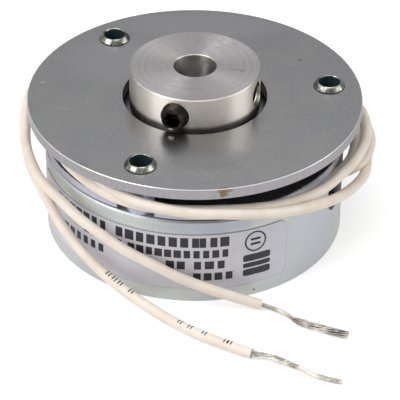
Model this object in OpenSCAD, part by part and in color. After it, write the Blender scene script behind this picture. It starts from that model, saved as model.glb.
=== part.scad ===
// Spring-applied electromagnetic brake with a set-screw hub, a friction disc and wound flying leads.
// Origin: centre of the flat back face. +Z runs along the shaft, towards the hub.

/* [Field body] */
// Outer diameter of the round field body
body_d = 45.72; // [44:0.02:50]
// Height of the field body from the back face to the rim
body_h = 14.4; // [13.5:0.05:20]
// Diameter of the clearance hole for the shaft through the field body
body_bore_d = 9.5; // [8:0.1:10.5]
// Thickness of the outer pole, outside the coil
outer_pole_t = 4.86; // [4.4:0.02:5.5]
// Width of the coil slot between the outer and the inner pole
coil_slot_w = 6.4; // [5.7:0.1:7]
// Thickness of the floor under the coil
floor_t = 2.8; // [1.5:0.1:3.4]
// Radius of the rounded back edge
back_round = 0.15; // [0.1:0.05:0.6]
// Chamfer on the rim edge
rim_chamfer = 0.25; // [0.1:0.05:0.5]

/* [Lead notch] */
// Direction of the notch for the leads, in degrees
notch_angle = -18; // [-22:0.5:-14]
// Width of the notch
notch_w = 7.8; // [5.4:0.1:8.2]
// Height of the notch floor above the back face
notch_floor = 7.15; // [5:0.05:7.5]
// Corner radius at the foot of the notch
notch_r = 2.4; // [0.5:0.1:2.6]
// Depth of the outer face of the grommet inside the wall of the field body
grommet_inset = 2.36; // [1.9:0.02:2.9]
// How far the grommet stands clear of the coil slot
grommet_gap = 0.3; // [0.1:0.05:0.6]

/* [Axial stack] */
// Air gap between the field body and the resting armature plate
air_gap = 0.3; // [0.2:0.05:0.6]
// Thickness of the armature plate
armature_t = 1.45; // [1:0.05:3]
// Thickness of each friction lining
lining_t = 1.2; // [0.6:0.05:2.5]
// Thickness of the carrier between the linings
carrier_t = 1.45; // [0.8:0.05:3]
// Clearance on each side of the resting friction disc
rest_gap = 0.05; // [0.03:0.01:0.1]

/* [End plate] */
// How far the end plate stands out past the field body
plate_overhang = 2.54; // [1:0.02:5]
// Thickness of the end plate
plate_t = 1.75; // [1.2:0.05:4]
// Radial gap between the hub and the hole in the end plate
hub_rim_gap = 1.05; // [0.5:0.05:2]
// Small chamfer on the edges of the end plate
plate_chamfer = 0.1; // [0.05:0.05:0.3]

/* [Spacers] */
// Direction of the front spacer, in degrees
spacer_angle = -112; // [-116:1:-108]
// Distance from the outer wall of the field body to the centre of a spacer
spacer_inset = 2.22; // [2.1:0.02:2.5]
// Outer diameter of a spacer between the field body and the end plate
spacer_d = 4.2; // [4:0.1:4.4]
// Outer diameter of the neck and of the tenon of a spacer
neck_d = 3.8; // [3.6:0.1:3.9]
// Diameter of the hole for a mounting screw
screw_hole_d = 3.2; // [2.6:0.05:3.3]
// Length of the tenon that is pressed into the field body
tenon_l = 5; // [3:0.5:8]
// Height of the rolled lip above the end plate
lip_h = 0.9; // [0.4:0.05:1.5]
// Diameter of the rolled lip at its foot
lip_d = 4.75; // [4.6:0.05:5.6]

/* [Hub] */
// Outer diameter of the hub
hub_d = 19.8; // [17.5:0.1:20.6]
// How far the hub stands above the end plate
hub_proud = 5.2; // [4.8:0.1:9]
// Diameter of the shaft bore
bore_d = 6.35; // [5:0.05:7]
// Width across the flats of the drive hexagon
hex_af = 12.7; // [11:0.1:14]
// Gap between the shoulder of the hub and the friction disc
shoulder_gap = 0.3; // [0.2:0.05:0.8]
// Chamfer on the edges of the hub and of its bore
hub_chamfer = 0.15; // [0.1:0.05:0.5]

/* [Set screws] */
// Diameter of a set screw
set_d = 4.17; // [3:0.01:4.2]
// Clearance of a set screw in its hole, all round
set_play = 0.04; // [0.02:0.01:0.1]
// Length of a set screw
set_l = 4.76; // [4:0.02:5.4]
// Width across the flats of the socket
socket_af = 2; // [1.5:0.1:2.2]
// Depth of the socket
socket_depth = 2.2; // [1:0.1:3]
// Depth of the set screws below the top face of the hub
set_drop = 2.95; // [2.6:0.05:3]
// How far the front set screw stands out of the hub
front_proud = 1.4; // [0.1:0.05:1.6]
// How deep the side set screw is sunk in the hub
side_sunk = 0.6; // [0:0.05:1.2]
// Chamfer on the mouth of a set screw's hole
mouth_chamfer = 0.14; // [0.02:0.02:0.3]
// Direction of the front set screw, in degrees
set_angle = -107; // [-180:1:180]

/* [Friction disc] */
// Gap between the friction disc and the spacers
disc_gap = 0.54; // [0.3:0.02:1]
// Inner diameter of a friction lining
lining_id = 22.4; // [17:0.1:28]
// How far the linings stand out past the carrier
lining_lip = 0.6; // [0.2:0.1:2]
// Sliding clearance between the drive hexagon and the carrier
hex_play = 0.1; // [0.05:0.01:0.2]

/* [Armature plate] */
// How far the armature plate is smaller than the field body, all round
armature_inset = 0.06; // [0.02:0.02:0.5]
// Gap on each side of a spacer in its slot in the armature plate
slot_gap = 0.9; // [0.2:0.05:1.2]
// How far the hole in the armature plate is wider than the shaft hole, all round
armature_hole_gap = 0.45; // [0.1:0.05:1]
// Small chamfer on the outer edges of the armature plate
armature_chamfer = 0.1; // [0.05:0.05:0.3]

/* [Springs] */
// Number of brake springs
spring_count = 6; // [6]
// Outer diameter of a brake spring
spring_d = 3.4; // [2.4:0.1:3.8]
// Wire diameter of a brake spring
spring_wire = 0.5; // [0.3:0.05:0.6]
// Number of turns in a brake spring
spring_turns = 6; // [5:1:7]
// Depth of a spring pocket
pocket_depth = 8.25; // [6:0.05:9]
// Clearance around a spring in its pocket
pocket_gap = 0.2; // [0.1:0.05:0.3]

/* [Coil] */
// Thickness of the flanges of the bobbin
flange_t = 0.8; // [0.5:0.1:1.2]
// Thickness of the core wall of the bobbin
core_t = 0.8; // [0.5:0.1:1.2]
// Thickness of the potting over the bobbin
potting_t = 1.2; // [0.6:0.1:2]
// Depth of the potting below the rim of the field body
potting_drop = 0.45; // [0.2:0.05:1]
// Radial gap between the bobbin and the walls of the coil slot
bobbin_gap = 0.15; // [0.05:0.05:0.4]
// How far the flanges of the bobbin stand out past the winding
flange_lip = 0.4; // [0.1:0.1:1.5]

/* [Label] */
// Direction of the left end of the label, in degrees
label_from = 192; // [185:1:200]
// Direction of the right end of the label, in degrees
label_to = 307; // [295:1:318]
// Height of the lower edge of the label
label_low = 2.35; // [1:0.05:3]
// Height of the upper edge of the label
label_high = 12.15; // [9:0.05:13]
// Corner radius of the label
label_r = 1.5; // [0.5:0.1:2]
// Thickness of the label
label_t = 0.08; // [0.05:0.01:0.2]

/* [Leads] */
// Diameter of the insulation of a lead
lead_d = 1.6; // [1.4:0.05:1.6]
// Diameter of the bare twisted strands
strand_d = 0.76; // [0.6:0.02:0.8]

/* [Hidden] */

$fn = 96;
// Overshoot of a cut past the face that it opens
cut = 1;
// Fit of glued or pressed pieces, per side
fit = 0.02;
// Clearance of pieces that only lie beside each other
slack = 0.05;

// Heights of the stack, from the back face upwards
armature_z = body_h + air_gap;
disc_z = armature_z + armature_t + rest_gap;
carrier_z = disc_z + lining_t;
disc_top = carrier_z + carrier_t + lining_t;
plate_z = disc_top + rest_gap;
plate_top = plate_z + plate_t;
hub_top = plate_top + hub_proud;
hub_bottom = disc_z + slack;
shoulder_z = disc_top + shoulder_gap;

// Radii that follow from the sizes above
body_r = body_d / 2;
spacer_ring = body_r - spacer_inset;
plate_r = body_r + plate_overhang;
plate_hole_r = hub_d / 2 + hub_rim_gap;
slot_out = body_r - outer_pole_t;
slot_in = slot_out - coil_slot_w;
grommet_face = body_r - grommet_inset;
armature_r = body_r - armature_inset;
disc_r = spacer_ring - spacer_d / 2 - disc_gap;
spring_ring = (body_bore_d / 2 + slot_in) / 2;
pocket_z = body_h - pocket_depth;
potting_z = body_h - potting_drop - potting_t;
bobbin_z = floor_t + slack;
bobbin_top = potting_z - slack;
set_z = hub_top - set_drop;
hub_hole_r = set_d / 2 + set_play;
// Half angle between a corner and a flat of a hexagon
hex_half = 30;

// Route of lead A: direction in degrees, distance from the axis, height
route_a = [
  [-13.5, 20.6, 10.6], [-13.3, 21.43, 10.77], [-12.6, 22.48, 11], [-10.9, 24.02, 11.36],
  [-7.6, 25.5, 11.84], [-3, 26.61, 12.44], [4, 27.17, 13.29], [14, 26.4, 14.35], [30, 24.51, 15.36],
  [45, 24.1, 16.32], [60, 24.1, 17], [75, 24.12, 17.15], [90, 24.19, 17.18], [105, 24.22, 17.27],
  [120, 24.21, 17.34], [135, 24.23, 17.38], [150, 24.26, 17.44], [165, 24.08, 17.51], [180, 23.41, 17.52],
  [194, 22.54, 17.51], [205, 22.28, 17.54], [214, 22.52, 17.58], [223, 22.89, 17.58], [232, 23.31, 17.43],
  [241, 23.68, 17.27], [250, 23.9, 17.24], [260, 24, 17.26], [270, 24.01, 17.29], [280, 24, 17.16],
  [290, 24, 16.7], [300, 24.06, 16.13], [310, 24.3, 15.8], [320, 24.85, 15.78], [329, 25.18, 16.11],
  [337, 25.64, 16.31], [344, 25.97, 16.52], [351, 26.21, 16.71], [358, 26.2, 16.89], [366, 25.95, 16.97],
  [376, 25.31, 16.73], [390, 25.54, 16.83], [405, 25.74, 16.97], [420, 25.81, 17.07], [435, 25.81, 17.12],
  [450, 26.1, 17.26], [465, 26.36, 17.46], [480, 26.73, 17.64], [495, 27.27, 17.62], [510, 27.59, 17.04],
  [525, 26.89, 15.79], [540, 25.99, 13.66], [554, 25.3, 13.05], [565, 25.06, 12.78], [575, 24.42, 12.14],
  [585, 24.22, 11.13], [595, 24.09, 10.03], [605, 24.1, 8.67], [615, 24, 7.12], [625, 24.05, 5.21],
  [634, 24.35, 3.69], [641, 24.94, 2.61], [647, 25.7, 1.69], [652.2, 26.54, 0.82]
];
// Route of lead B, in the same form
route_b = [
  [-22.5, 20.6, 12.15], [-22.1, 21.3, 12.45], [-21, 22.3, 12.9], [-19.3, 23.25, 13.4],
  [-17, 24.05, 14.05], [-13.4, 24.6, 14.95], [-8, 24.68, 15.98], [-1, 24.44, 16.92], [9, 24.21, 17.73],
  [19, 24.23, 18.08], [30, 24.36, 18.24], [45, 24.37, 18.67], [60, 24.28, 19.03], [75, 24.22, 19.15],
  [90, 24.2, 19.16], [105, 24.2, 19.15], [120, 24.2, 19.15], [135, 24.24, 19.16], [150, 24.24, 19.2],
  [165, 24.06, 19.23], [180, 23.46, 19.23], [194, 22.7, 19.23], [205, 22.3, 19.23], [214, 22.24, 19.23],
  [223, 22.5, 19.23], [232, 23.12, 19.18], [241, 24.12, 18.9], [250, 24.9, 18.61], [260, 25.33, 18.29],
  [270, 25.58, 17.97], [280, 25.61, 17.64], [290, 25.71, 16.91], [300, 25.81, 16.05], [310, 25.84, 15.08],
  [320, 25.77, 13.88], [329, 25.65, 12.67], [337, 25.66, 11.68], [344, 25.9, 10.91], [351, 26.32, 10.36],
  [358, 26.56, 10.53], [366, 26.76, 11.31], [376, 26.72, 12.47], [390, 26.43, 13.29], [405, 26.18, 13.62],
  [420, 26.04, 13.97], [435, 26.01, 14.4], [450, 26.1, 14.81], [465, 26.35, 15.13], [480, 26.86, 15.19],
  [495, 27.45, 14.85], [510, 27.68, 13.97], [525, 27.06, 12.81], [540, 25.79, 11.55], [554, 24.88, 10.64],
  [565, 24.39, 9.41], [575, 24.41, 7.71], [585, 24.27, 5.57], [594, 24.39, 3.8], [602, 24.73, 2.51],
  [609, 25.44, 1.66], [616, 26.66, 1.08], [622, 28.25, 0.84], [628, 30.4, 0.82], [633.5, 32.57, 0.82],
  [638.5, 34.75, 0.83], [643.4, 37.14, 0.82]
];
// Routes of the bare strands: they start on the end face of the insulation
route_strands_a = [
  [652.2, 26.54, 0.82], [655, 27.7, 0.6], [657.3, 29.4, 0.45], [658.7, 31.6, 0.43], [661.9, 34.6, 0.42],
  [666, 38.5, 0.42]
];
route_strands_b = [
  [643.4, 37.14, 0.82], [646.9, 38.2, 0.6], [649.5, 39.8, 0.45], [651.6, 41.8, 0.43], [653.2, 43.9, 0.42],
  [656.9, 47, 0.42]
];

function unit(v) = v / norm(v);
function polar(p) = [p[1] * cos(p[0]), p[1] * sin(p[0]), p[2]];
function path_of(route) = [for (p = route) polar(p)];
// Direction of a path at point i, with a stated direction at its start
function heading(path, i, first) =
  i == 0 ? first : unit(path[min(i + 1, len(path) - 1)] - path[i - 1]);
// Ring of points around one point of a path
function ring(centre, along, r, sides) =
  let (side = unit(cross(along, [0, 0, 1])), up = cross(side, along))
  [for (k = [0:sides - 1]) centre + r * (cos(k * 360 / sides) * side + sin(k * 360 / sides) * up)];

// Round tube of the given radius along a list of points
module tube(path, r, sides, first) {
  count = len(path);
  points = [for (i = [0:count - 1]) each ring(path[i], heading(path, i, first), r, sides)];
  walls = [
    for (i = [0:count - 2], k = [0:sides - 1], half = [0, 1])
      let (a = i * sides + k, b = i * sides + (k + 1) % sides)
      half == 0 ? [a, b, a + sides] : [b, b + sides, a + sides]
  ];
  start = [for (k = [sides - 1:-1:0]) k];
  end = [for (k = [0:sides - 1]) (count - 1) * sides + k];
  polyhedron(points = points, faces = concat([start], walls, [end]), convexity = 10);
}

// Places children at spacer k of three
module at_spacer(k) {
  rotate([0, 0, spacer_angle + k * 120]) translate([spacer_ring, 0, 0]) children();
}

// Lays an outline drawn across and upwards into the notch, from one distance from the axis to another
module along_notch(from, to) {
  rotate([0, 0, notch_angle]) translate([from, 0, 0]) rotate([90, 0, 90])
    linear_extrude(to - from) children();
}

// Outline of the notch: straight sides and rounded lower corners, inset by a clearance
module notch_outline(inset, top) {
  w = notch_w - 2 * inset;
  r = notch_r - inset;
  low = notch_floor + inset;
  for (s = [-1, 1]) translate([s * (w / 2 - r), low + r]) circle(r);
  translate([r - w / 2, low]) square([w - 2 * r, 2 * r]);
  translate([-w / 2, low + r]) square([w, top - low - r]);
}

// Section of the field body without its pockets and holes
module body_section() {
  bore_r = body_bore_d / 2;
  difference() {
    union() {
      polygon([
        [bore_r, 0], [body_r - back_round, 0], [body_r - back_round, back_round], [body_r, back_round],
        [body_r, body_h - rim_chamfer], [body_r - rim_chamfer, body_h], [bore_r, body_h]
      ]);
      translate([body_r - back_round, back_round]) circle(back_round, $fn = 48);
    }
    translate([slot_in, floor_t]) square([slot_out - slot_in, body_h]);
  }
}

module field_body() {
  color("#c3cccb")
  difference() {
    rotate_extrude() body_section();
    along_notch(slot_out - cut, body_r + cut) notch_outline(0, body_h + cut);
    for (k = [0:spring_count - 1]) rotate([0, 0, k * 360 / spring_count])
      translate([spring_ring, 0, pocket_z]) cylinder(d = spring_d + 2 * pocket_gap, h = body_h);
    for (k = [0:2]) at_spacer(k) {
      translate([0, 0, body_h - tenon_l - fit]) cylinder(d = neck_d + 2 * fit, h = body_h);
      translate([0, 0, -cut]) cylinder(d = screw_hole_d, h = body_h);
    }
  }
}

module coil_bobbin() {
  inner = slot_in + bobbin_gap;
  outer = slot_out - bobbin_gap;
  color("#20242a")
  rotate_extrude() {
    translate([inner, bobbin_z]) square([outer - inner, flange_t]);
    translate([inner, bobbin_z]) square([core_t, bobbin_top - bobbin_z]);
    translate([inner, bobbin_top - flange_t]) square([outer - inner, flange_t]);
  }
}

module coil_winding() {
  inner = slot_in + bobbin_gap + core_t + slack;
  outer = slot_out - bobbin_gap - flange_lip;
  low = bobbin_z + flange_t + slack;
  color("#9c4f28")
  rotate_extrude() translate([inner, low]) square([outer - inner, bobbin_top - flange_t - slack - low]);
}

module coil_potting() {
  width = slot_out - slot_in - 2 * slack;
  color("#2a2b2e")
  rotate_extrude() translate([slot_in + slack, potting_z]) square([width, potting_t]);
}

module lead_grommet() {
  color("#1a1b1c")
  along_notch(slot_out + grommet_gap, grommet_face) notch_outline(slack, body_h - potting_drop);
}

// Section of a hollow spacer: tenon, shoulder, neck and rolled lip
module spacer_section() {
  hole_r = screw_hole_d / 2;
  shoulder_low = body_h + fit;
  shoulder_high = plate_z - fit;
  flare = 0.15;
  polygon([
    [hole_r, body_h - tenon_l], [neck_d / 2, body_h - tenon_l], [neck_d / 2, shoulder_low],
    [spacer_d / 2, shoulder_low], [spacer_d / 2, shoulder_high], [neck_d / 2, shoulder_high],
    [neck_d / 2, plate_top + fit], [lip_d / 2, plate_top + fit], [lip_d / 2 - flare, plate_top + lip_h / 3],
    [neck_d / 2 + flare, plate_top + lip_h], [hole_r + flare, plate_top + lip_h],
    [hole_r, plate_top + lip_h - 2 * flare]
  ]);
}

module spacer(k) {
  color("#b9c0c6") at_spacer(k) rotate_extrude($fn = 48) spacer_section();
}

module end_plate() {
  color("#8e8f91")
  difference() {
    rotate_extrude() polygon([
      [plate_hole_r, plate_z], [plate_r - plate_chamfer, plate_z], [plate_r, plate_z + plate_chamfer],
      [plate_r, plate_top - plate_chamfer], [plate_r - plate_chamfer, plate_top], [plate_hole_r, plate_top]
    ]);
    for (k = [0:2]) at_spacer(k) translate([0, 0, plate_z - cut])
      cylinder(d = neck_d + 2 * fit, h = plate_t + 2 * cut);
  }
}

// Turned hub with its drive hexagon below the shoulder
module hub() {
  c = hub_chamfer;
  m = mouth_chamfer;
  r = hub_d / 2;
  color("#c9c8c6")
  difference() {
    union() {
      rotate_extrude() polygon([
        [0, shoulder_z], [r - c, shoulder_z], [r, shoulder_z + c],
        [r, hub_top - c], [r - c, hub_top], [0, hub_top]
      ]);
      translate([0, 0, hub_bottom])
        cylinder(d = hex_af / cos(hex_half), h = shoulder_z - hub_bottom + cut, $fn = 6);
    }
    translate([0, 0, hub_bottom - cut]) cylinder(d = bore_d, h = hub_top - hub_bottom + 2 * cut);
    translate([0, 0, hub_top - c]) cylinder(d1 = bore_d, d2 = bore_d + 4 * c, h = 2 * c);
    for (k = [0, 1]) rotate([0, 0, set_angle + k * 90]) translate([0, 0, set_z]) rotate([0, 90, 0]) {
      cylinder(r = hub_hole_r, h = hub_d);
      translate([0, 0, r - 2 * m]) cylinder(r1 = hub_hole_r - m, r2 = hub_hole_r + 2 * m, h = 3 * m);
    }
  }
}

// Socket set screw with a cup point, its outer face at the given distance from the axis
module set_screw(face) {
  edge = 0.45;
  point = 0.75;
  r = set_d / 2;
  translate([face, 0, set_z]) rotate([0, -90, 0])
  difference() {
    union() {
      cylinder(r1 = r - edge, r2 = r, h = edge);
      translate([0, 0, edge]) cylinder(r = r, h = set_l - edge - point);
      translate([0, 0, set_l - point]) cylinder(r1 = r, r2 = r - point, h = point);
    }
    translate([0, 0, -cut]) cylinder(d = socket_af / cos(hex_half), h = socket_depth + cut, $fn = 6);
    translate([0, 0, set_l - 0.5]) cylinder(r1 = 0, r2 = 1, h = 1);
  }
}

module set_screws() {
  color("#1d1c1b") {
    rotate([0, 0, set_angle]) set_screw(hub_d / 2 + front_proud);
    rotate([0, 0, set_angle + 90]) set_screw(hub_d / 2 - side_sunk);
  }
}

module friction_carrier() {
  color("#7d8084")
  difference() {
    translate([0, 0, carrier_z]) cylinder(r = disc_r - lining_lip, h = carrier_t);
    translate([0, 0, carrier_z - cut])
      cylinder(d = (hex_af + 2 * hex_play) / cos(hex_half), h = carrier_t + 2 * cut, $fn = 6);
  }
}

// Flat friction ring at the given height
module lining(z) {
  color("#26272a")
  difference() {
    translate([0, 0, z]) cylinder(r = disc_r, h = lining_t);
    translate([0, 0, z - cut]) cylinder(d = lining_id, h = lining_t + 2 * cut);
  }
}

// Armature plate with an open slot for each spacer
module armature_plate() {
  slot_w = spacer_d + 2 * slot_gap;
  hole_r = body_bore_d / 2 + armature_hole_gap;
  c = armature_chamfer;
  top = armature_z + armature_t;
  color("#9a99a6")
  difference() {
    rotate_extrude() polygon([
      [hole_r, armature_z], [armature_r - c, armature_z], [armature_r, armature_z + c],
      [armature_r, top - c], [armature_r - c, top], [hole_r, top]
    ]);
    for (k = [0:2]) at_spacer(k) translate([0, 0, armature_z - cut]) {
      cylinder(d = slot_w, h = armature_t + 2 * cut);
      translate([0, -slot_w / 2, 0]) cube([spacer_inset + cut, slot_w, armature_t + 2 * cut]);
    }
  }
}

// Compression spring: the first and the last turn lie flat
module spring(k) {
  steps = 8;
  total = steps * spring_turns;
  low = pocket_z + slack + spring_wire / 2;
  high = armature_z - slack - spring_wire / 2;
  rise = high - low - 2 * spring_wire;
  function climb(i) =
    i <= steps ? spring_wire * i / steps :
    i >= total - steps ? spring_wire + rise + spring_wire * (i - total + steps) / steps :
    spring_wire + rise * (i - steps) / (total - 2 * steps);
  coil_r = (spring_d - spring_wire) / 2;
  turn = 360 / steps;
  path = [for (i = [0:total]) [coil_r * cos(i * turn), coil_r * sin(i * turn), low + climb(i)]];
  color("#8f9296")
  rotate([0, 0, (k - 1) * 360 / spring_count]) translate([spring_ring, 0, 0])
    tube(path, spring_wire / 2, 6, [0, 1, 0]);
}

// Corner of the label that is cut away to round it: the circle crosses both edges at a slight angle
module label_corner(angle, z, along, up) {
  crossing = 0.04;
  rotate([0, 0, angle]) translate([body_r - cut, 0, z]) rotate([90, 0, 90])
  linear_extrude(2 * cut)
  difference() {
    translate([along > 0 ? -cut : -label_r, up > 0 ? -cut : -label_r]) square(label_r + cut);
    translate([along * label_r, up * label_r]) circle(label_r + crossing);
  }
}

module rating_label() {
  color("#b4b4bb")
  difference() {
    rotate([0, 0, label_from]) rotate_extrude(angle = label_to - label_from)
      translate([body_r + fit, label_low]) square([label_t, label_high - label_low]);
    label_corner(label_from, label_low, 1, 1);
    label_corner(label_from, label_high, 1, -1);
    label_corner(label_to, label_low, -1, 1);
    label_corner(label_to, label_high, -1, -1);
  }
}

// Insulated lead from the grommet to its stripped end
module lead(route) {
  color("#efe4d6") tube(path_of(route), lead_d / 2, 8, [cos(notch_angle), sin(notch_angle), 0]);
}

// Bare twisted strands, starting on the end face of a lead
module strands(route, lead_route) {
  end = path_of(lead_route);
  last = len(end) - 1;
  color("#b6b7ba") tube(path_of(route), strand_d / 2, 8, heading(end, last, [1, 0, 0]));
}

end_plate();
spacer(0);  // spacer_front
spacer(1);  // spacer_right
spacer(2);  // spacer_rear
hub();
set_screws();
friction_carrier();
lining(carrier_z + carrier_t);  // lining_upper
lining(disc_z);  // lining_lower
armature_plate();
spring(1);  // spring_1
spring(2);  // spring_2
spring(3);  // spring_3
spring(4);  // spring_4
spring(5);  // spring_5
spring(6);  // spring_6
field_body();
coil_bobbin();
coil_winding();
coil_potting();
lead_grommet();
rating_label();
lead(route_a);  // lead_a
lead(route_b);  // lead_b
strands(route_strands_a, route_a);  // strands_a
strands(route_strands_b, route_b);  // strands_b
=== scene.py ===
"""Spring-applied electromagnetic brake: finishes, fine detail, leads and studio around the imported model.

Sizes are in millimetres and angles in degrees, unless a docstring says radians. Both are converted where a mesh,
lamp or camera is made.
"""

import logging
import math
from abc import ABC, abstractmethod
from dataclasses import dataclass, field
from enum import Enum
from typing import Any

import bpy
from mathutils import Matrix, Vector


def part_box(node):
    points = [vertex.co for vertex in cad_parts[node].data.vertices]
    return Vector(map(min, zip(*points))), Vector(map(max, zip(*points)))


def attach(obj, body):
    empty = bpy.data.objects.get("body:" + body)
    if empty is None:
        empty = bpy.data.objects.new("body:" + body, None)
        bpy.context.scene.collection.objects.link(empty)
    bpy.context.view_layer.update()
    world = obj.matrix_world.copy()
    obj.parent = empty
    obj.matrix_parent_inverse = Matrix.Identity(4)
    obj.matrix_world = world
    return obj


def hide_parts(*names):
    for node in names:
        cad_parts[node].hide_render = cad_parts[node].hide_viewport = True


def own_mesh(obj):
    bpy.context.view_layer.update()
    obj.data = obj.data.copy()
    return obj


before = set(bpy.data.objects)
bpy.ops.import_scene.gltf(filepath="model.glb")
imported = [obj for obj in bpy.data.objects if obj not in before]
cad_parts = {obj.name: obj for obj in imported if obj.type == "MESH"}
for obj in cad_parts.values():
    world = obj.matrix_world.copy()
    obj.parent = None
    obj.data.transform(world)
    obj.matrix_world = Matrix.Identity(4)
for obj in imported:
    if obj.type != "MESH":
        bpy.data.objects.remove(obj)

LOG = logging.getLogger("brake")
MM = 0.001
SIDES = 128

Colour = tuple[float, float, float]
Place = tuple[float, float, float]
Loop = list[Vector]
Outline = list[tuple[float, float]]

WHITE: Colour = (1.0, 1.0, 1.0)
PLATE_TOP = 21.85
SLIGHTLY_DARKER = 0.93


class Body(str, Enum):
    """Bodies of the brake that the pieces of the scene ride on."""

    HOUSING = "housing"
    ROTOR = "rotor"


class Kind(str, Enum):
    """Socket types of the node groups."""

    NUMBER = "NodeSocketFloat"
    COUNT = "NodeSocketInt"
    VECTOR = "NodeSocketVector"
    COLOUR = "NodeSocketColor"
    SHAPE = "NodeSocketGeometry"
    MATERIAL = "NodeSocketMaterial"


def tone(red: float, green: float, blue: float) -> Colour:
    """Returns the linear colour of a display colour.

    Args:
        red: Red part, from 0 to 255.
        green: Green part, from 0 to 255.
        blue: Blue part, from 0 to 255.

    Returns:
        The three linear parts.
    """
    knee, offset, slope, power = 0.04045, 0.055, 12.92, 2.4
    full = 255
    parts = [value / full for value in (red, green, blue)]
    return tuple(p / slope if p <= knee else ((p + offset) / (1 + offset)) ** power for p in parts)


def scaled(colour: Colour, factor: float) -> Colour:
    """Returns a colour made darker or lighter by a factor, and no brighter than white."""
    return tuple(min(part * factor, 1.0) for part in colour)


def polar(turn: float, reach: float, height: float) -> Vector:
    """Returns the point at an angle round the Z axis, in radians, a distance and a height."""
    return Vector((reach * math.cos(turn), reach * math.sin(turn), height))


def around(sides: int, shift: float = 0.0) -> list[float]:
    """Returns the angles, in radians, that divide a full turn evenly, from a shift in steps."""
    return [math.tau * (k + shift) / sides for k in range(sides)]


def metres(point: Vector | Place) -> Vector:
    """Returns a point in millimetres as one in metres."""
    return Vector(point) * MM


def added(name: str, data: bpy.types.ID) -> bpy.types.Object:
    """Returns a new object of the scene."""
    item = bpy.data.objects.new(name, data)
    bpy.context.scene.collection.objects.link(item)
    return item


class Graph:
    """Adds nodes to a shader or geometry tree and wires them.

    Args:
        tree: The node tree that is filled.
    """

    def __init__(self, tree: bpy.types.NodeTree) -> None:
        """Keeps the tree."""
        self.tree = tree

    @classmethod
    def group(cls, name: str, tree_type: str, takes: dict[str, Kind], gives: dict[str, Kind]) -> "Graph":
        """Starts a node group with named sockets.

        Args:
            name: Name of the group.
            tree_type: Blender's type of the tree.
            takes: Type of each input.
            gives: Type of each output.

        Returns:
            The graph of the new group.
        """
        tree = bpy.data.node_groups.new(name, tree_type)
        for socket, kind in takes.items():
            tree.interface.new_socket(socket, in_out="INPUT", socket_type=kind.value)
        for socket, kind in gives.items():
            tree.interface.new_socket(socket, in_out="OUTPUT", socket_type=kind.value)
        return cls(tree)

    def add(self, node_type: str, inputs: dict[Any, Any] | None = None, **settings: Any) -> bpy.types.Node:
        """Adds a node.

        Args:
            node_type: Blender's type of the node.
            inputs: Value or socket for each input, by name or number.
            settings: Properties of the node.

        Returns:
            The new node.
        """
        node = self.tree.nodes.new(node_type)
        for key, value in settings.items():
            setattr(node, key, value)
        for key, value in (inputs or {}).items():
            self.feed(node.inputs[key], value)
        return node

    def feed(self, socket: bpy.types.NodeSocket, value: Any) -> None:
        """Links a socket to an input, or sets the input's own value, a colour of three parts as opaque."""
        if isinstance(value, bpy.types.NodeSocket):
            self.tree.links.new(value, socket)
        else:
            socket.default_value = (*value, 1.0) if socket.type == "RGBA" and len(value) == 3 else value

    def out(self, node_type: str, inputs: dict[Any, Any] | None = None, **settings: Any) -> bpy.types.NodeSocket:
        """Adds a node as add() does, and returns its first output."""
        return self.add(node_type, inputs, **settings).outputs[0]

    def math(self, operation: str, *values: Any, clamp: bool = False) -> bpy.types.NodeSocket:
        """Returns the result of a Math node."""
        return self.out("ShaderNodeMath", dict(enumerate(values)), operation=operation, use_clamp=clamp)

    def vector(self, operation: str, *values: Any, factor: Any = None) -> bpy.types.NodeSocket:
        """Returns the vector that a Vector Math node gives, or its value for a length."""
        inputs = dict(enumerate(values))
        if factor is not None:
            inputs["Scale"] = factor
        node = self.add("ShaderNodeVectorMath", inputs, operation=operation)
        return node.outputs["Value" if operation in ("LENGTH", "DOT_PRODUCT") else "Vector"]

    def ramp(self, value: Any, low: Any, high: Any, start: float = 0.0, end: float = 1.0) -> bpy.types.NodeSocket:
        """Returns a smooth step of a value, from start at low to end at high."""
        inputs = {"Value": value, "From Min": low, "From Max": high, "To Min": start, "To Max": end}
        return self.add("ShaderNodeMapRange", inputs, interpolation_type="SMOOTHSTEP").outputs["Result"]

    def mix(self, share: Any, first: Any, second: Any) -> bpy.types.NodeSocket:
        """Returns a mix of two colours."""
        colour_a, colour_b, mixed = 6, 7, 2
        inputs = {"Factor": share, colour_a: first, colour_b: second}
        return self.add("ShaderNodeMix", inputs, data_type="RGBA").outputs[mixed]

    def noise(self, point: Any, scale: Any, detail: float = 2.0) -> bpy.types.NodeSocket:
        """Returns a noise value, about 0.5 on average."""
        inputs = {"Vector": point, "Scale": scale, "Detail": detail}
        return self.add("ShaderNodeTexNoise", inputs).outputs["Fac"]

    def combine(self, x: Any = 0.0, y: Any = 0.0, z: Any = 0.0) -> bpy.types.NodeSocket:
        """Returns the vector of three values."""
        return self.out("ShaderNodeCombineXYZ", {0: x, 1: y, 2: z})

    def parts(self, vector: Any) -> Any:
        """Returns the three values of a vector."""
        return self.add("ShaderNodeSeparateXYZ", {0: vector}).outputs

    def turned(self, vector: Any, angle: Any) -> bpy.types.NodeSocket:
        """Returns a vector turned round the Z axis."""
        return self.out("ShaderNodeVectorRotate", {"Vector": vector, "Angle": angle}, rotation_type="Z_AXIS")

    def use(self, tree: bpy.types.NodeTree, **inputs: Any) -> bpy.types.Node:
        """Places a node group, with its inputs by name in small letters."""
        kind = "GeometryNodeGroup" if tree.bl_idname == "GeometryNodeTree" else "ShaderNodeGroup"
        node = self.tree.nodes.new(kind)
        node.node_tree = tree
        for key, value in inputs.items():
            self.feed(node.inputs[key.replace("_", " ").title()], value)
        return node


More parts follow.
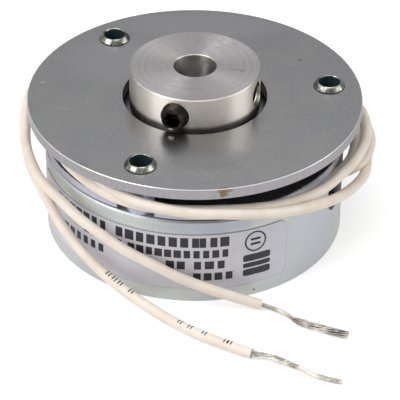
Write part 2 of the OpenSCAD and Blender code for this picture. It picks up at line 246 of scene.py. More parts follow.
class Effects:
    """Shared shader effects, each built once as a node group."""

    def __init__(self) -> None:
        """Builds the groups."""
        self.place = self._place()
        self.mottle = self._mottle()
        self.lines = self._lines()
        self.spot = self._spot()
        self.scuffs = self._scuffs()

    @staticmethod
    def _group(name: str, takes: dict[str, Kind], gives: dict[str, Kind]) -> tuple[Graph, Any, bpy.types.Node]:
        """Starts a shader group and returns its graph, its input sockets and its output node."""
        graph = Graph.group(name, "ShaderNodeTree", takes, gives)
        return graph, graph.add("NodeGroupInput").outputs, graph.add("NodeGroupOutput")

    def _place(self) -> bpy.types.NodeTree:
        """Returns the group that gives a surface point in millimetres and about the shaft axis."""
        gives = {"Point": Kind.VECTOR, "Radius": Kind.NUMBER, "Height": Kind.NUMBER, "Turn": Kind.NUMBER}
        graph, _, out = self._group("place", {}, gives)
        coordinate = graph.add("ShaderNodeTexCoord").outputs["Object"]
        point = graph.vector("SCALE", coordinate, factor=1 / MM)
        x, y, z = graph.parts(point)
        graph.feed(out.inputs["Point"], point)
        graph.feed(out.inputs["Radius"], graph.vector("LENGTH", graph.combine(x, y)))
        graph.feed(out.inputs["Height"], z)
        graph.feed(out.inputs["Turn"], graph.math("ARCTAN2", y, x))
        return graph.tree

    def _mottle(self) -> bpy.types.NodeTree:
        """Returns the group that clouds a surface between two colours."""
        takes = {"Point": Kind.VECTOR, "Scale": Kind.NUMBER, "Low": Kind.NUMBER, "High": Kind.NUMBER,
                 "First": Kind.COLOUR, "Second": Kind.COLOUR}
        graph, ins, out = self._group("mottle", takes, {"Colour": Kind.COLOUR, "Mask": Kind.NUMBER})
        detail = 4.0
        mask = graph.ramp(graph.noise(ins["Point"], ins["Scale"], detail), ins["Low"], ins["High"])
        graph.feed(out.inputs["Colour"], graph.mix(mask, ins["First"], ins["Second"]))
        graph.feed(out.inputs["Mask"], mask)
        return graph.tree

    def _lines(self) -> bpy.types.NodeTree:
        """Returns the group of fine tool lines along one value, such as a radius or a height."""
        takes = {"Along": Kind.NUMBER, "Per Mm": Kind.NUMBER}
        graph, ins, out = self._group("tool lines", takes, {"Lines": Kind.NUMBER, "Bands": Kind.NUMBER})
        fine = graph.math("MULTIPLY", ins["Along"], ins["Per Mm"])
        broad_share = 0.13
        for socket, value in (("Lines", fine), ("Bands", graph.math("MULTIPLY", fine, broad_share))):
            node = graph.add("ShaderNodeTexNoise", {"W": value, "Scale": 1.0, "Detail": 1.0}, noise_dimensions="1D")
            graph.feed(out.inputs[socket], node.outputs["Fac"])
        return graph.tree

    def _spot(self) -> bpy.types.NodeTree:
        """Returns the group of one soft spot or streak at a stated place."""
        takes = {"Point": Kind.VECTOR, "Centre": Kind.VECTOR, "Size": Kind.VECTOR, "Angle": Kind.NUMBER}
        graph, ins, out = self._group("spot", takes, {"Mask": Kind.NUMBER})
        offset = graph.vector("SUBTRACT", ins["Point"], ins["Centre"])
        turned = graph.turned(offset, ins["Angle"])
        reach = graph.vector("LENGTH", graph.vector("DIVIDE", turned, ins["Size"]))
        scale, raggedness, core = 2.5, 0.9, 0.45
        inward = graph.math("SUBTRACT", reach, raggedness / 2)
        ragged = graph.math("MULTIPLY_ADD", graph.noise(ins["Point"], scale), raggedness, inward)
        graph.feed(out.inputs["Mask"], graph.ramp(ragged, 1.0, core))
        return graph.tree

    def _scuffs(self) -> bpy.types.NodeTree:
        """Returns the group of sparse hairline scratches in one direction."""
        takes = {"Point": Kind.VECTOR, "Angle": Kind.NUMBER, "Scale": Kind.NUMBER}
        graph, ins, out = self._group("scuffs", takes, {"Mask": Kind.NUMBER})
        stretch, detail, mean = (0.06, 1.0, 1.0), 1.0, 0.5
        drawn = graph.vector("MULTIPLY", graph.turned(ins["Point"], ins["Angle"]), stretch)
        hair = graph.noise(drawn, ins["Scale"], detail)
        line_width, patch_scale, patch_range = 0.012, 0.35, (0.52, 0.66)
        line = graph.ramp(graph.math("ABSOLUTE", graph.math("SUBTRACT", hair, mean)), line_width, 0.0)
        patch = graph.ramp(graph.noise(ins["Point"], patch_scale, detail), *patch_range)
        graph.feed(out.inputs["Mask"], graph.math("MULTIPLY", line, patch))
        return graph.tree


EFFECTS = Effects()


@dataclass(frozen=True)
class Cloud:
    """Mottling: its scale, and the noise values between which its second colour comes in."""

    scale: float
    low: float = 0.36
    high: float = 0.64

    def over(self, graph: Graph, point: Any, first: Any, second: Any) -> Any:
        """Returns the colour and the mask of this mottling between two colours."""
        return graph.use(EFFECTS.mottle, point=point, scale=self.scale, low=self.low, high=self.high,
                         first=first, second=second).outputs


@dataclass(frozen=True)
class Mark:
    """A stain, nick or scratch, or a painted shade, reflection or glint, at its own place on a surface."""

    centre: Place
    size: Place
    colour: Colour
    share: float = 1.0
    angle: float = 0.0

    def over(self, graph: Graph, point: Any, colour: Any) -> Any:
        """Returns a colour with the mark laid over it."""
        spot = graph.use(EFFECTS.spot, point=point, centre=self.centre, size=self.size,
                         angle=math.radians(self.angle)).outputs["Mask"]
        return graph.mix(graph.math("MULTIPLY", spot, self.share), colour, self.colour)


@dataclass(frozen=True)
class Finish(ABC):
    """A surface finish that becomes one material."""

    name: str
    colour: Colour
    roughness: float
    metallic: float = 0.0
    anisotropy: float = 0.0
    marks: tuple[Mark, ...] = ()

    def material(self) -> bpy.types.Material:
        """Returns the finish as a new material."""
        made = bpy.data.materials.new(self.name)
        made.use_nodes = True
        graph = Graph(made.node_tree)
        shader = made.node_tree.nodes["Principled BSDF"].inputs
        graph.feed(shader["Base Color"], self.colour)
        graph.feed(shader["Roughness"], self.roughness)
        graph.feed(shader["Metallic"], self.metallic)
        if self.anisotropy:
            quarter_turn = 0.25
            graph.feed(shader["Anisotropic"], self.anisotropy)
            graph.feed(shader["Anisotropic Rotation"], quarter_turn)
            graph.feed(shader["Tangent"], graph.out("ShaderNodeTangent", axis="Z"))
        made.diffuse_color = (*self.colour, 1.0)
        self.paint(graph, shader, graph.use(EFFECTS.place).outputs)
        return made

    @abstractmethod
    def paint(self, graph: Graph, shader: Any, place: Any) -> None:
        """Adds the detail of the finish.

        Args:
            graph: The material's graph.
            shader: The inputs of the material's shader.
            place: The outputs of the placing group.
        """

    def marked(self, graph: Graph, place: Any, colour: Any) -> Any:
        """Returns the colour with the stains, nicks, scratches and painted shades, reflections and glints of the
        finish laid over it.
        """
        for mark in self.marks:
            colour = mark.over(graph, place["Point"], colour)
        return colour

    def vary_gloss(self, graph: Graph, shader: Any, value: Any, less: float, more: float) -> None:
        """Lets the roughness follow a noise value, from less to more than that of the finish."""
        low, high = 0.3, 0.7
        graph.feed(shader["Roughness"], graph.ramp(value, low, high, self.roughness - less, self.roughness + more))

    @staticmethod
    def emboss(graph: Graph, shader: Any, height: Any, depth: float) -> None:
        """Gives the surface a relief of the given depth in millimetres."""
        graph.feed(shader["Normal"], graph.out("ShaderNodeBump", {"Distance": depth * MM, "Height": height}))


@dataclass(frozen=True, kw_only=True)
class SheetZinc(Finish):
    """Matt zinc plating on a stamped sheet with a sheared edge, and a pale, less metallic top corner that is a
    painted highlight line.

    The directions of its scuffs are in radians.
    """

    drift: Colour
    edge_colour: Colour
    edge_radius: float = 25.24
    top: float = PLATE_TOP
    corner_highlight: Colour = tone(226, 225, 226)
    corner_metallic: float = 0.3
    hole_radius: float = 10.95
    shaded_hole_colour: Colour = (0.14, 0.085, 0.05)
    plating: Cloud = Cloud(0.16)
    grain: Cloud = Cloud(3.2, 0.5, 0.74)
    shear: Cloud = Cloud(1.0, 0.4, 0.68)
    scuff_turns: tuple[float, ...] = (0.5, 1.9)
    scuff_scale: float = 0.9
    scuff_share: float = 0.3
    relief: float = 0.003

    def paint(self, graph: Graph, shader: Any, place: Any) -> None:
        """Adds cloudy plating, fine grain, the sheared edge, brownish painted shade in the centre hole, a painted
        highlight along the top corner and the marks.
        """
        point, radius = place["Point"], place["Radius"]
        paler, edge_blend, edge_smoothness, hole_share, pore_scale = 1.25, 0.08, 0.1, 0.9, 7.0
        hole_blend, corner_blend, gloss_change, stretch = (0.05, 0.02), (0.11, 0.08), (0.01, 0.02), (2.2, 2.2, 0.25)
        pale, dull = scaled(self.colour, paler), scaled(self.edge_colour, SLIGHTLY_DARKER)
        cloud = self.plating.over(graph, point, self.colour, self.drift)
        grain = self.grain.over(graph, point, cloud["Colour"], pale)
        colour = grain["Colour"]
        for turn in self.scuff_turns:
            hair = graph.use(EFFECTS.scuffs, point=point, angle=turn, scale=self.scuff_scale).outputs["Mask"]
            colour = graph.mix(graph.math("MULTIPLY", hair, self.scuff_share), colour, pale)
        edge = graph.ramp(radius, self.edge_radius, self.edge_radius + edge_blend)
        sheared = self.shear.over(graph, graph.vector("MULTIPLY", point, stretch), self.edge_colour, dull)
        colour = graph.mix(edge, colour, sheared["Colour"])
        # Painted shade, brownish, on the wall of the centre hole.
        hole = graph.ramp(radius, *(self.hole_radius + wide for wide in hole_blend), 0.0, hole_share)
        colour = self.marked(graph, place, graph.mix(hole, colour, self.shaded_hole_colour))
        # Painted highlight along the outer top corner: pale and less metallic.
        upper = graph.ramp(place["Height"], *(self.top - deep for deep in corner_blend))
        corner = graph.math("MULTIPLY", edge, upper)
        graph.feed(shader["Base Color"], graph.mix(corner, colour, self.corner_highlight))
        graph.feed(shader["Metallic"], graph.ramp(corner, 0.0, 1.0, self.metallic, self.corner_metallic))
        less, more = gloss_change
        rough = graph.ramp(cloud["Mask"], 0.0, 1.0, self.roughness - less, self.roughness + more)
        smoother_edge = graph.math("MULTIPLY", edge, edge_smoothness)
        graph.feed(shader["Roughness"], graph.math("SUBTRACT", rough, smoother_edge))
        self.emboss(graph, shader, graph.math("ADD", grain["Mask"], graph.noise(point, pore_scale)), self.relief)


@dataclass(frozen=True, kw_only=True)
class BrightZinc(Finish):
    """Bright zinc plating on turned steel, with a slight drift of hue; other drawn or turned metals use it too."""

    drift: Colour
    drift_scale: float = 0.14
    lines_per_mm: float = 9.0
    band_share: float = 0.5
    relief: float = 0.002

    def paint(self, graph: Graph, shader: Any, place: Any) -> None:
        """Adds the drift of hue, tool lines round the part, a cloudy gloss and the marks."""
        stretch, darker, cloud_scale, band_range = (1.0, 1.0, 0.35), 0.9, 0.6, (0.45, 0.8)
        drawn = graph.vector("MULTIPLY", place["Point"], stretch)
        drift = Cloud(self.drift_scale).over(graph, drawn, self.colour, self.drift)
        lines = graph.use(EFFECTS.lines, along=place["Height"], per_mm=self.lines_per_mm).outputs
        bands = graph.ramp(lines["Bands"], *band_range, 0.0, self.band_share)
        colour = graph.mix(bands, drift["Colour"], scaled(self.colour, darker))
        colour = self.tint(graph, shader, place, colour)
        graph.feed(shader["Base Color"], self.marked(graph, place, colour))
        self.vary_gloss(graph, shader, graph.noise(place["Point"], cloud_scale), less=0.05, more=0.06)
        self.emboss(graph, shader, lines["Lines"], self.relief)

    def tint(self, graph: Graph, shader: Any, place: Any, colour: Any) -> Any:
        """Returns the colour of the whole part; here it stays as it is."""
        return colour


@dataclass(frozen=True, kw_only=True)
class SpacerZinc(BrightZinc):
    """Zinc of the hollow spacers, with painted shade at the foot on the end plate, a barrel under it painted paler,
    bluer and less metallic as a painted sheen, and painted shade in the bore.
    """

    foot_height: float = PLATE_TOP
    soil_and_shade: Colour = (0.03, 0.03, 0.03)
    barrel: Colour = tone(198, 202, 230)
    bore: Colour = tone(50, 64, 70)
    dull_metallic: float = 0.1
    bore_share: float = 0.8
    foot_shade_heights: tuple[float, float] = (0.19, 0.09)
    barrel_start: tuple[float, float] = (2.4, 2.5)

    def tint(self, graph: Graph, shader: Any, place: Any, colour: Any) -> Any:
        """Returns the colour with painted shade at the foot and in the bore and a painted sheen on the barrel, and
        makes the last two less metallic.
        """
        # Painted shade at the foot, in the crease where the lip meets the end plate.
        foot = graph.ramp(place["Height"], *(self.foot_height + up for up in self.foot_shade_heights))
        # Painted sheen: the barrel under the plate is paler, bluer and less metallic.
        barrel = graph.ramp(place["Height"], *(self.foot_height - down for down in self.barrel_start))
        inner = graph.add("ShaderNodeAttribute", attribute_name="inner").outputs["Fac"]
        soft = graph.math("MAXIMUM", barrel, graph.math("MULTIPLY", inner, self.bore_share))
        graph.feed(shader["Metallic"], graph.ramp(soft, 0.0, 1.0, self.metallic, self.dull_metallic))
        colour = graph.mix(barrel, graph.mix(foot, colour, self.soil_and_shade), self.barrel)
        # Painted shade, bluish green, inside the bore.
        return graph.mix(inner, colour, self.bore)


@dataclass(frozen=True, kw_only=True)
class TurnedAluminium(Finish):
    """Turned aluminium: rings on the faces, lines round the walls and a few marks."""

    face_height: float
    face_colour: Colour
    side_light_colour: Colour
    rings_per_mm: float = 14.0
    ring_share: float = 0.16
    hoops_per_mm: float = 8.0
    foot_height: float = PLATE_TOP
    foot_share: float = 0.85
    soil_and_shade: Colour = (0.06, 0.055, 0.05)
    bore_radius: float = 3.175
    bore_share: float = 0.9
    bore_colour: Colour = (0.37, 0.36, 0.345)

    def paint(self, graph: Graph, shader: Any, place: Any) -> None:
        """Adds rings on the top face, fine lines round the wall and the marks."""
        height, radius = place["Height"], place["Radius"]
        paler, face_blend, foot_blend, bore_blend, cloud_scale = 1.12, 0.02, 0.75, (0.06, 0.03), 1.1
        ring_range, streak_range = (0.4, 0.75), (0.4, 0.8)
        on_face = graph.ramp(height, self.face_height - face_blend, self.face_height)
        rings = graph.use(EFFECTS.lines, along=radius, per_mm=self.rings_per_mm).outputs
        hoops = graph.use(EFFECTS.lines, along=height, per_mm=self.hoops_per_mm).outputs
        # Painted light: the face is lighter towards its left and right sides.
        sideways_light = graph.math("POWER", graph.math("COSINE", place["Turn"]), 2.0)
        face = graph.mix(sideways_light, self.face_colour, self.side_light_colour)
        colour = graph.mix(on_face, self.colour, face)
        ring_share = graph.math("MULTIPLY", on_face, self.ring_share)
        ringed = graph.math("MULTIPLY", graph.ramp(rings["Bands"], *ring_range), ring_share)
        colour = graph.mix(ringed, colour, scaled(self.face_colour, paler))
        streak = graph.math("SUBTRACT", graph.ramp(hoops["Lines"], *streak_range), on_face, clamp=True)
        colour = graph.mix(streak, colour, scaled(self.colour, SLIGHTLY_DARKER))
        # Painted shade on the lower wall, where it meets the end plate.
        foot = graph.ramp(height, self.foot_height + foot_blend, self.foot_height, 0.0, self.foot_share)
        colour = graph.mix(foot, colour, self.soil_and_shade)
        inside = graph.ramp(radius, *(self.bore_radius + wide for wide in bore_blend), 0.0, self.bore_share)
        colour = graph.mix(inside, colour, self.bore_colour)
        graph.feed(shader["Base Color"], self.marked(graph, place, colour))
        self.vary_gloss(graph, shader, graph.noise(place["Point"], cloud_scale), less=0.04, more=0.05)


@dataclass(frozen=True, kw_only=True)
class Moulded(Finish):
    """Moulded or pressed material with a fine speckle and a grainy surface."""

    fleck: Colour
    grain_scale: float = 4.0
    relief: float = 0.01

    def paint(self, graph: Graph, shader: Any, place: Any) -> None:
        """Adds flecks, grain and the marks."""
        fleck = Cloud(self.grain_scale, low=0.55, high=0.75).over(graph, place["Point"], self.colour, self.fleck)
        graph.feed(shader["Base Color"], self.marked(graph, place, fleck["Colour"]))
        finer, detail = 2.0, 3.0
        grain = graph.noise(place["Point"], self.grain_scale * finer, detail)
        self.vary_gloss(graph, shader, grain, less=0.06, more=0.06)
        self.emboss(graph, shader, grain, self.relief)


@dataclass(frozen=True, kw_only=True)
class Insulation(Finish):
    """Extruded lead insulation: cream, with faint shade changes along it."""

    shade: Colour
    drift: Cloud = Cloud(0.3, 0.35, 0.7)
    soil_and_shade: Cloud = Cloud(2.4, 0.62, 0.8)
    relief: float = 0.03

    def paint(self, graph: Graph, shader: Any, place: Any) -> None:
        """Adds shade changes, a very slight unevenness and the marks."""
        drift = self.drift.over(graph, place["Point"], self.colour, self.shade)
        soil_and_shade = self.soil_and_shade.over(graph, place["Point"], drift["Colour"], self.shade)
        graph.feed(shader["Base Color"], self.marked(graph, place, soil_and_shade["Colour"]))
        uneven_scale = 1.2
        uneven = graph.noise(place["Point"], uneven_scale)
        self.vary_gloss(graph, shader, uneven, less=0.05, more=0.08)
        self.emboss(graph, shader, uneven, self.relief)


@dataclass(frozen=True, kw_only=True)
class LabelFilm(Finish):
    """Silver label film with a thin dark line of painted shade near its cut edge."""

    outline: Colour = (0.25, 0.24, 0.28)
    edge_shade_share: float = 0.6
    sheen: Cloud = Cloud(0.3, 0.3, 0.7)
    relief: float = 0.002

    def paint(self, graph: Graph, shader: Any, place: Any) -> None:
        """Adds a thin line of painted shade along the cut edge from the label's own attribute, and a faint sheen
        change.
        """
        rim = graph.add("ShaderNodeAttribute", attribute_name="rim").outputs["Fac"]
        line_range, fine_scale = (0.4, 0.85), 6.0
        sheen = self.sheen.over(graph, place["Point"], self.colour, scaled(self.colour, SLIGHTLY_DARKER))
        # Painted shade along the cut edge of the film.
        line = graph.math("MULTIPLY", graph.ramp(rim, *line_range), self.edge_shade_share)
        graph.feed(shader["Base Color"], graph.mix(line, sheen["Colour"], self.outline))
        fine = graph.noise(place["Point"], fine_scale)
        self.vary_gloss(graph, shader, fine, less=0.05, more=0.05)
        self.emboss(graph, shader, fine, self.relief)


@dataclass(frozen=True)
class Palette:
    """Every finish of the brake."""

    plate: Finish = SheetZinc(
        "zinc_plate", tone(171, 171, 171), 0.29, 1.0, drift=tone(164, 164, 167), edge_colour=tone(150, 147, 150),
        marks=(
            # Darker patch in front of the hub: partly mottled plating, partly a painted reflection of the hub's
            # shade.
            Mark((1.5, -17.3, 21.85), (8.0, 4.5, 1.0), tone(146, 146, 147), 0.55),
            Mark((0.5, 20.4, 21.85), (17.0, 5.6, 1.0), tone(188, 187, 193), 0.5),
            Mark((-12.5, 10.5, 21.85), (10.0, 8.0, 1.0), tone(186, 186, 191), 0.5),
            Mark((16.2, 10.3, 21.85), (0.32, 0.2, 1.0), tone(40, 38, 40), 0.9),
            Mark((-23.2, 3.2, 21.85), (0.4, 0.3, 1.0), tone(214, 214, 215), 0.7),
            Mark((-19.4, -4.3, 21.85), (1.1, 0.12, 1.0), tone(210, 210, 212), 0.6, 10.0),
            Mark((-16.1, -2.6, 21.85), (0.35, 0.25, 1.0), tone(206, 206, 208), 0.6),
            Mark((4.4, -24.9, 21.55), (1.7, 0.8, 0.45), tone(118, 98, 72), 0.85),
            Mark((4.3, -24.9, 20.95), (0.8, 0.8, 0.75), tone(108, 90, 66), 0.85),
            Mark((-16.3, -19.4, 21.5), (1.6, 1.6, 0.7), tone(146, 146, 126), 0.5),
        ),
    )
    body: Finish = BrightZinc(
        "zinc_body", tone(195, 199, 195), 0.4, 0.55, drift=tone(188, 192, 198), drift_scale=0.08,
        relief=0.0006, marks=(
            Mark((9.05, -20.95, 0.9), (0.22, 0.22, 0.22), tone(50, 48, 46), 0.9),
            # Painted shade, bluish, on the upper front wall under the leads.
            Mark((1.0, -22.9, 13.4), (11.0, 6.0, 2.2), tone(150, 156, 170), 0.45),
            # Painted shade in the lead notch.
            Mark((20.7, -4.6, 8.3), (1.7, 2.4, 2.6), tone(36, 38, 36), 0.9),
        ),
    )
    armature: Finish = BrightZinc(
        "zinc_armature", tone(186, 184, 200), 0.36, 0.45, drift=tone(184, 186, 196),
        # Darker top face: partly the dark friction surface, partly painted shade under the end plate.
        marks=(Mark((0.0, 0.0, 16.35), (400.0, 400.0, 0.5), tone(30, 27, 24), 0.92),),
    )
    spacer: Finish = SpacerZinc(
        "zinc_spacer", tone(182, 183, 175), 0.16, 1.0, drift=tone(112, 114, 108), drift_scale=0.9, lines_per_mm=5.0
    )
    hub: Finish = TurnedAluminium(
        "turned_aluminium", tone(224, 218, 210), 0.42, 1.0, 0.9, face_height=27.03, face_colour=tone(155, 151, 152),
        side_light_colour=tone(236, 232, 233),
        marks=(
            Mark((4.8, -1.5, 27.05), (0.42, 0.07, 1.0), tone(250, 248, 246), 1.0, -38.0),
            Mark((5.7, -1.15, 27.05), (0.6, 0.09, 1.0), tone(84, 81, 80), 0.9, -5.0),
            Mark((6.9, -1.35, 27.05), (0.85, 0.09, 1.0), tone(96, 93, 92), 0.9, 24.0),
            Mark((-9.06, -3.84, 26.95), (0.2, 0.2, 0.2), tone(255, 255, 252)),
            Mark((-8.36, -5.29, 26.92), (0.26, 0.26, 0.2), tone(255, 255, 252)),
        ),
    )
    thread: Finish = BrightZinc("tapped_aluminium", tone(240, 235, 226), 0.3, 1.0, drift=tone(228, 222, 214))
    oxide: Finish = Moulded(
        "black_oxide", tone(48, 44, 42), 0.32, 1.0, fleck=tone(72, 63, 58), relief=0.004,
        marks=(
            # Painted shade in the hex sockets of both screws.
            Mark((-2.94, -9.61, 24.1), (2.1, 2.1, 2.1), tone(8, 8, 8)),
            Mark((7.7, -2.35, 24.1), (2.1, 2.1, 2.1), tone(8, 8, 8)),
            # Painted glint at the lower edge of the front screw's face.
            Mark((-3.49, -10.75, 22.62), (0.5, 0.5, 0.2), tone(230, 226, 218), 0.8),
        ),
    )
    steel: Finish = BrightZinc("rolled_steel", tone(168, 168, 172), 0.38, 1.0, drift=tone(158, 160, 166))
    wire: Finish = BrightZinc("spring_wire", tone(176, 176, 180), 0.28, 1.0, drift=tone(160, 160, 166))
    lining: Finish = Moulded("friction_lining", tone(22, 21, 20), 0.8, fleck=tone(52, 47, 40), grain_scale=3.0)
    bobbin: Finish = Moulded("nylon_bobbin", tone(40, 42, 45), 0.5, fleck=tone(48, 50, 54))
    copper: Finish = BrightZinc(
        "enamelled_copper", tone(190, 104, 62), 0.3, 1.0, drift=tone(160, 84, 48), lines_per_mm=4.0, relief=0.08
    )
    resin: Finish = Moulded("potting_resin", tone(40, 40, 42), 0.28, fleck=tone(50, 50, 53), grain_scale=0.8)
    rubber: Finish = Moulded("grommet_rubber", tone(20, 20, 21), 0.62, fleck=tone(30, 30, 31))
    label: Finish = LabelFilm("label_film", tone(208, 207, 214), 0.42, 0.25)
    ink: Finish = Moulded("label_ink", tone(27, 26, 33), 0.5, fleck=tone(40, 38, 46))
    insulation: Finish = Insulation(
        "lead_insulation", tone(251, 240, 227), 0.42, shade=tone(244, 229, 215),
        marks=(
            # Painted shade at the cut end of each lead, round the bare strands.
            Mark((10.03, -24.57, 0.82), (0.75, 0.75, 0.75), tone(96, 84, 76), 0.85),
            Mark((8.61, -36.13, 0.82), (0.75, 0.75, 0.75), tone(96, 84, 76), 0.85),
        ),
    )
    tinned: Finish = BrightZinc(
        "tinned_strand", tone(214, 209, 200), 0.29, 1.0, drift=tone(108, 103, 98), drift_scale=0.4, lines_per_mm=2.0
    )


class Workshop:
    """Turns finishes into materials once, and meshes into dressed pieces."""

    def __init__(self) -> None:
        """Starts with no material."""
        self.finishes = Palette()
        self.made: dict[str, bpy.types.Material] = {}

    def material(self, finish: Finish) -> bpy.types.Material:
        """Returns the material of a finish, made on first use."""
        if finish.name not in self.made:
            self.made[finish.name] = finish.material()
        return self.made[finish.name]

    def dress(self, node: str, finish: Finish) -> None:
        """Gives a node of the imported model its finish."""
        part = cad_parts[node]
        if not part.material_slots:
            part.data.materials.append(None)
        for held in part.material_slots:
            held.material = self.material(finish)
        LOG.info("dressed %s with %s", node, finish.name)

    def piece(self, name: str, mesh: bpy.types.Mesh, finish: Finish, body: Body,
              stands_for: tuple[str, ...] = (), sharp: float = 35.0) -> bpy.types.Object:
        """Makes an object of a finished mesh and lets it ride on its body.

        Args:
            name: Name of the piece.
            mesh: Its mesh, in metres and in place.
            finish: Its finish.
            body: The body that it rides on.
            stands_for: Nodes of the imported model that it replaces.
            sharp: Angle past which an edge is shaded sharp.

        Returns:
            The object.
        """
        part = added(name, mesh)
        mesh.name = name
        mesh.materials.clear()
        mesh.materials.append(self.material(finish))
        mesh.shade_smooth()
        mesh.set_sharp_from_angle(angle=math.radians(sharp))
        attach(part, body.value)
        if stands_for:
            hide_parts(*stands_for)
        LOG.info("made %s on %s: %d faces", name, body.value, len(mesh.polygons))
        return part


def circle(radius: float, height: float, sides: int = SIDES) -> Loop:
    """Returns a loop of points round the Z axis."""
    return [polar(turn, radius, height) for turn in around(sides)]


def hexagon(across: float, height: float, sides: int = SIDES) -> Loop:
    """Returns a hexagonal loop, with as many points as a circle has, across its flats."""
    flat_sides = 6
    sixth = math.tau / flat_sides
    flats = [(turn + sixth / 2) % sixth - sixth / 2 for turn in around(sides)]
    return [polar(turn, across / 2 / math.cos(flat), height) for turn, flat in zip(around(sides), flats)]


def loft(loops: list[Loop], ring: bool = False) -> bpy.types.Mesh:
    """Joins loops of equal length with quads.

    Args:
        loops: Closed loops, in millimetres, ordered so that the faces point outwards.
        ring: Joins the last loop to the first, and otherwise both ends get a cap.

    Returns:
        The mesh, in metres.
    """
    sides = len(loops[0])
    points = [metres(point) for loop in loops for point in loop]
    rows = len(loops) if ring else len(loops) - 1
    faces = []
    for row in range(rows):
        here, there = row * sides, (row + 1) % len(loops) * sides
        for k in range(sides):
            after = (k + 1) % sides
            faces.append((here + k, here + after, there + after, there + k))
    if not ring:
        last = (len(loops) - 1) * sides
        faces.append(tuple(range(sides))[::-1])
        faces.append(tuple(range(last, last + sides)))
    mesh = bpy.data.meshes.new("loft")
    mesh.from_pydata(points, [], faces)
    return mesh


def lathe(outline: Outline, sides: int = SIDES) -> bpy.types.Mesh:
    """Turns a closed outline of radius and height about the Z axis; it runs anticlockwise."""
    return loft([circle(radius, height, sides) for radius, height in outline], ring=True)


def merged(meshes: list[bpy.types.Mesh]) -> bpy.types.Mesh:
    """Returns one mesh with the faces of several."""
    points: list[Vector] = []
    faces: list[tuple[int, ...]] = []
    for mesh in meshes:
        start = len(points)
        points += [vertex.co.copy() for vertex in mesh.vertices]
        faces += [tuple(start + k for k in face.vertices) for face in mesh.polygons]
        bpy.data.meshes.remove(mesh)
    whole = bpy.data.meshes.new("merged")
    whole.from_pydata(points, [], faces)
    return whole


def placed(mesh: bpy.types.Mesh, matrix: Matrix) -> bpy.types.Mesh:
    """Returns the mesh moved by a matrix in metres."""
    mesh.transform(matrix)
    return mesh


def shifted(mesh: bpy.types.Mesh, x: float, y: float, z: float) -> bpy.types.Mesh:
    """Returns the mesh moved by a distance in millimetres along each axis."""
    return placed(mesh, Matrix.Translation(metres((x, y, z))))


def axis_frame(angle: float, reach: float, height: float) -> Matrix:
    """Returns the matrix that lays the Z axis outwards in a direction.

    Args:
        angle: Direction round the shaft axis, in degrees.
        reach: Distance of the new origin from the shaft axis.
        height: Height of the new origin.

    Returns:
        The matrix, in metres.
    """
    turn = Matrix.Rotation(math.radians(angle), 4, "Z")
    lay = Matrix.Rotation(math.pi / 2, 4, "Y")
    return turn @ Matrix.Translation(metres((reach, 0, height))) @ lay


def line_mesh(path: Loop) -> bpy.types.Mesh:
    """Returns a path, in millimetres, as a mesh of edges in metres."""
    mesh = bpy.data.meshes.new("line")
    mesh.from_pydata([metres(p) for p in path], [(k, k + 1) for k in range(len(path) - 1)], [])
    return mesh


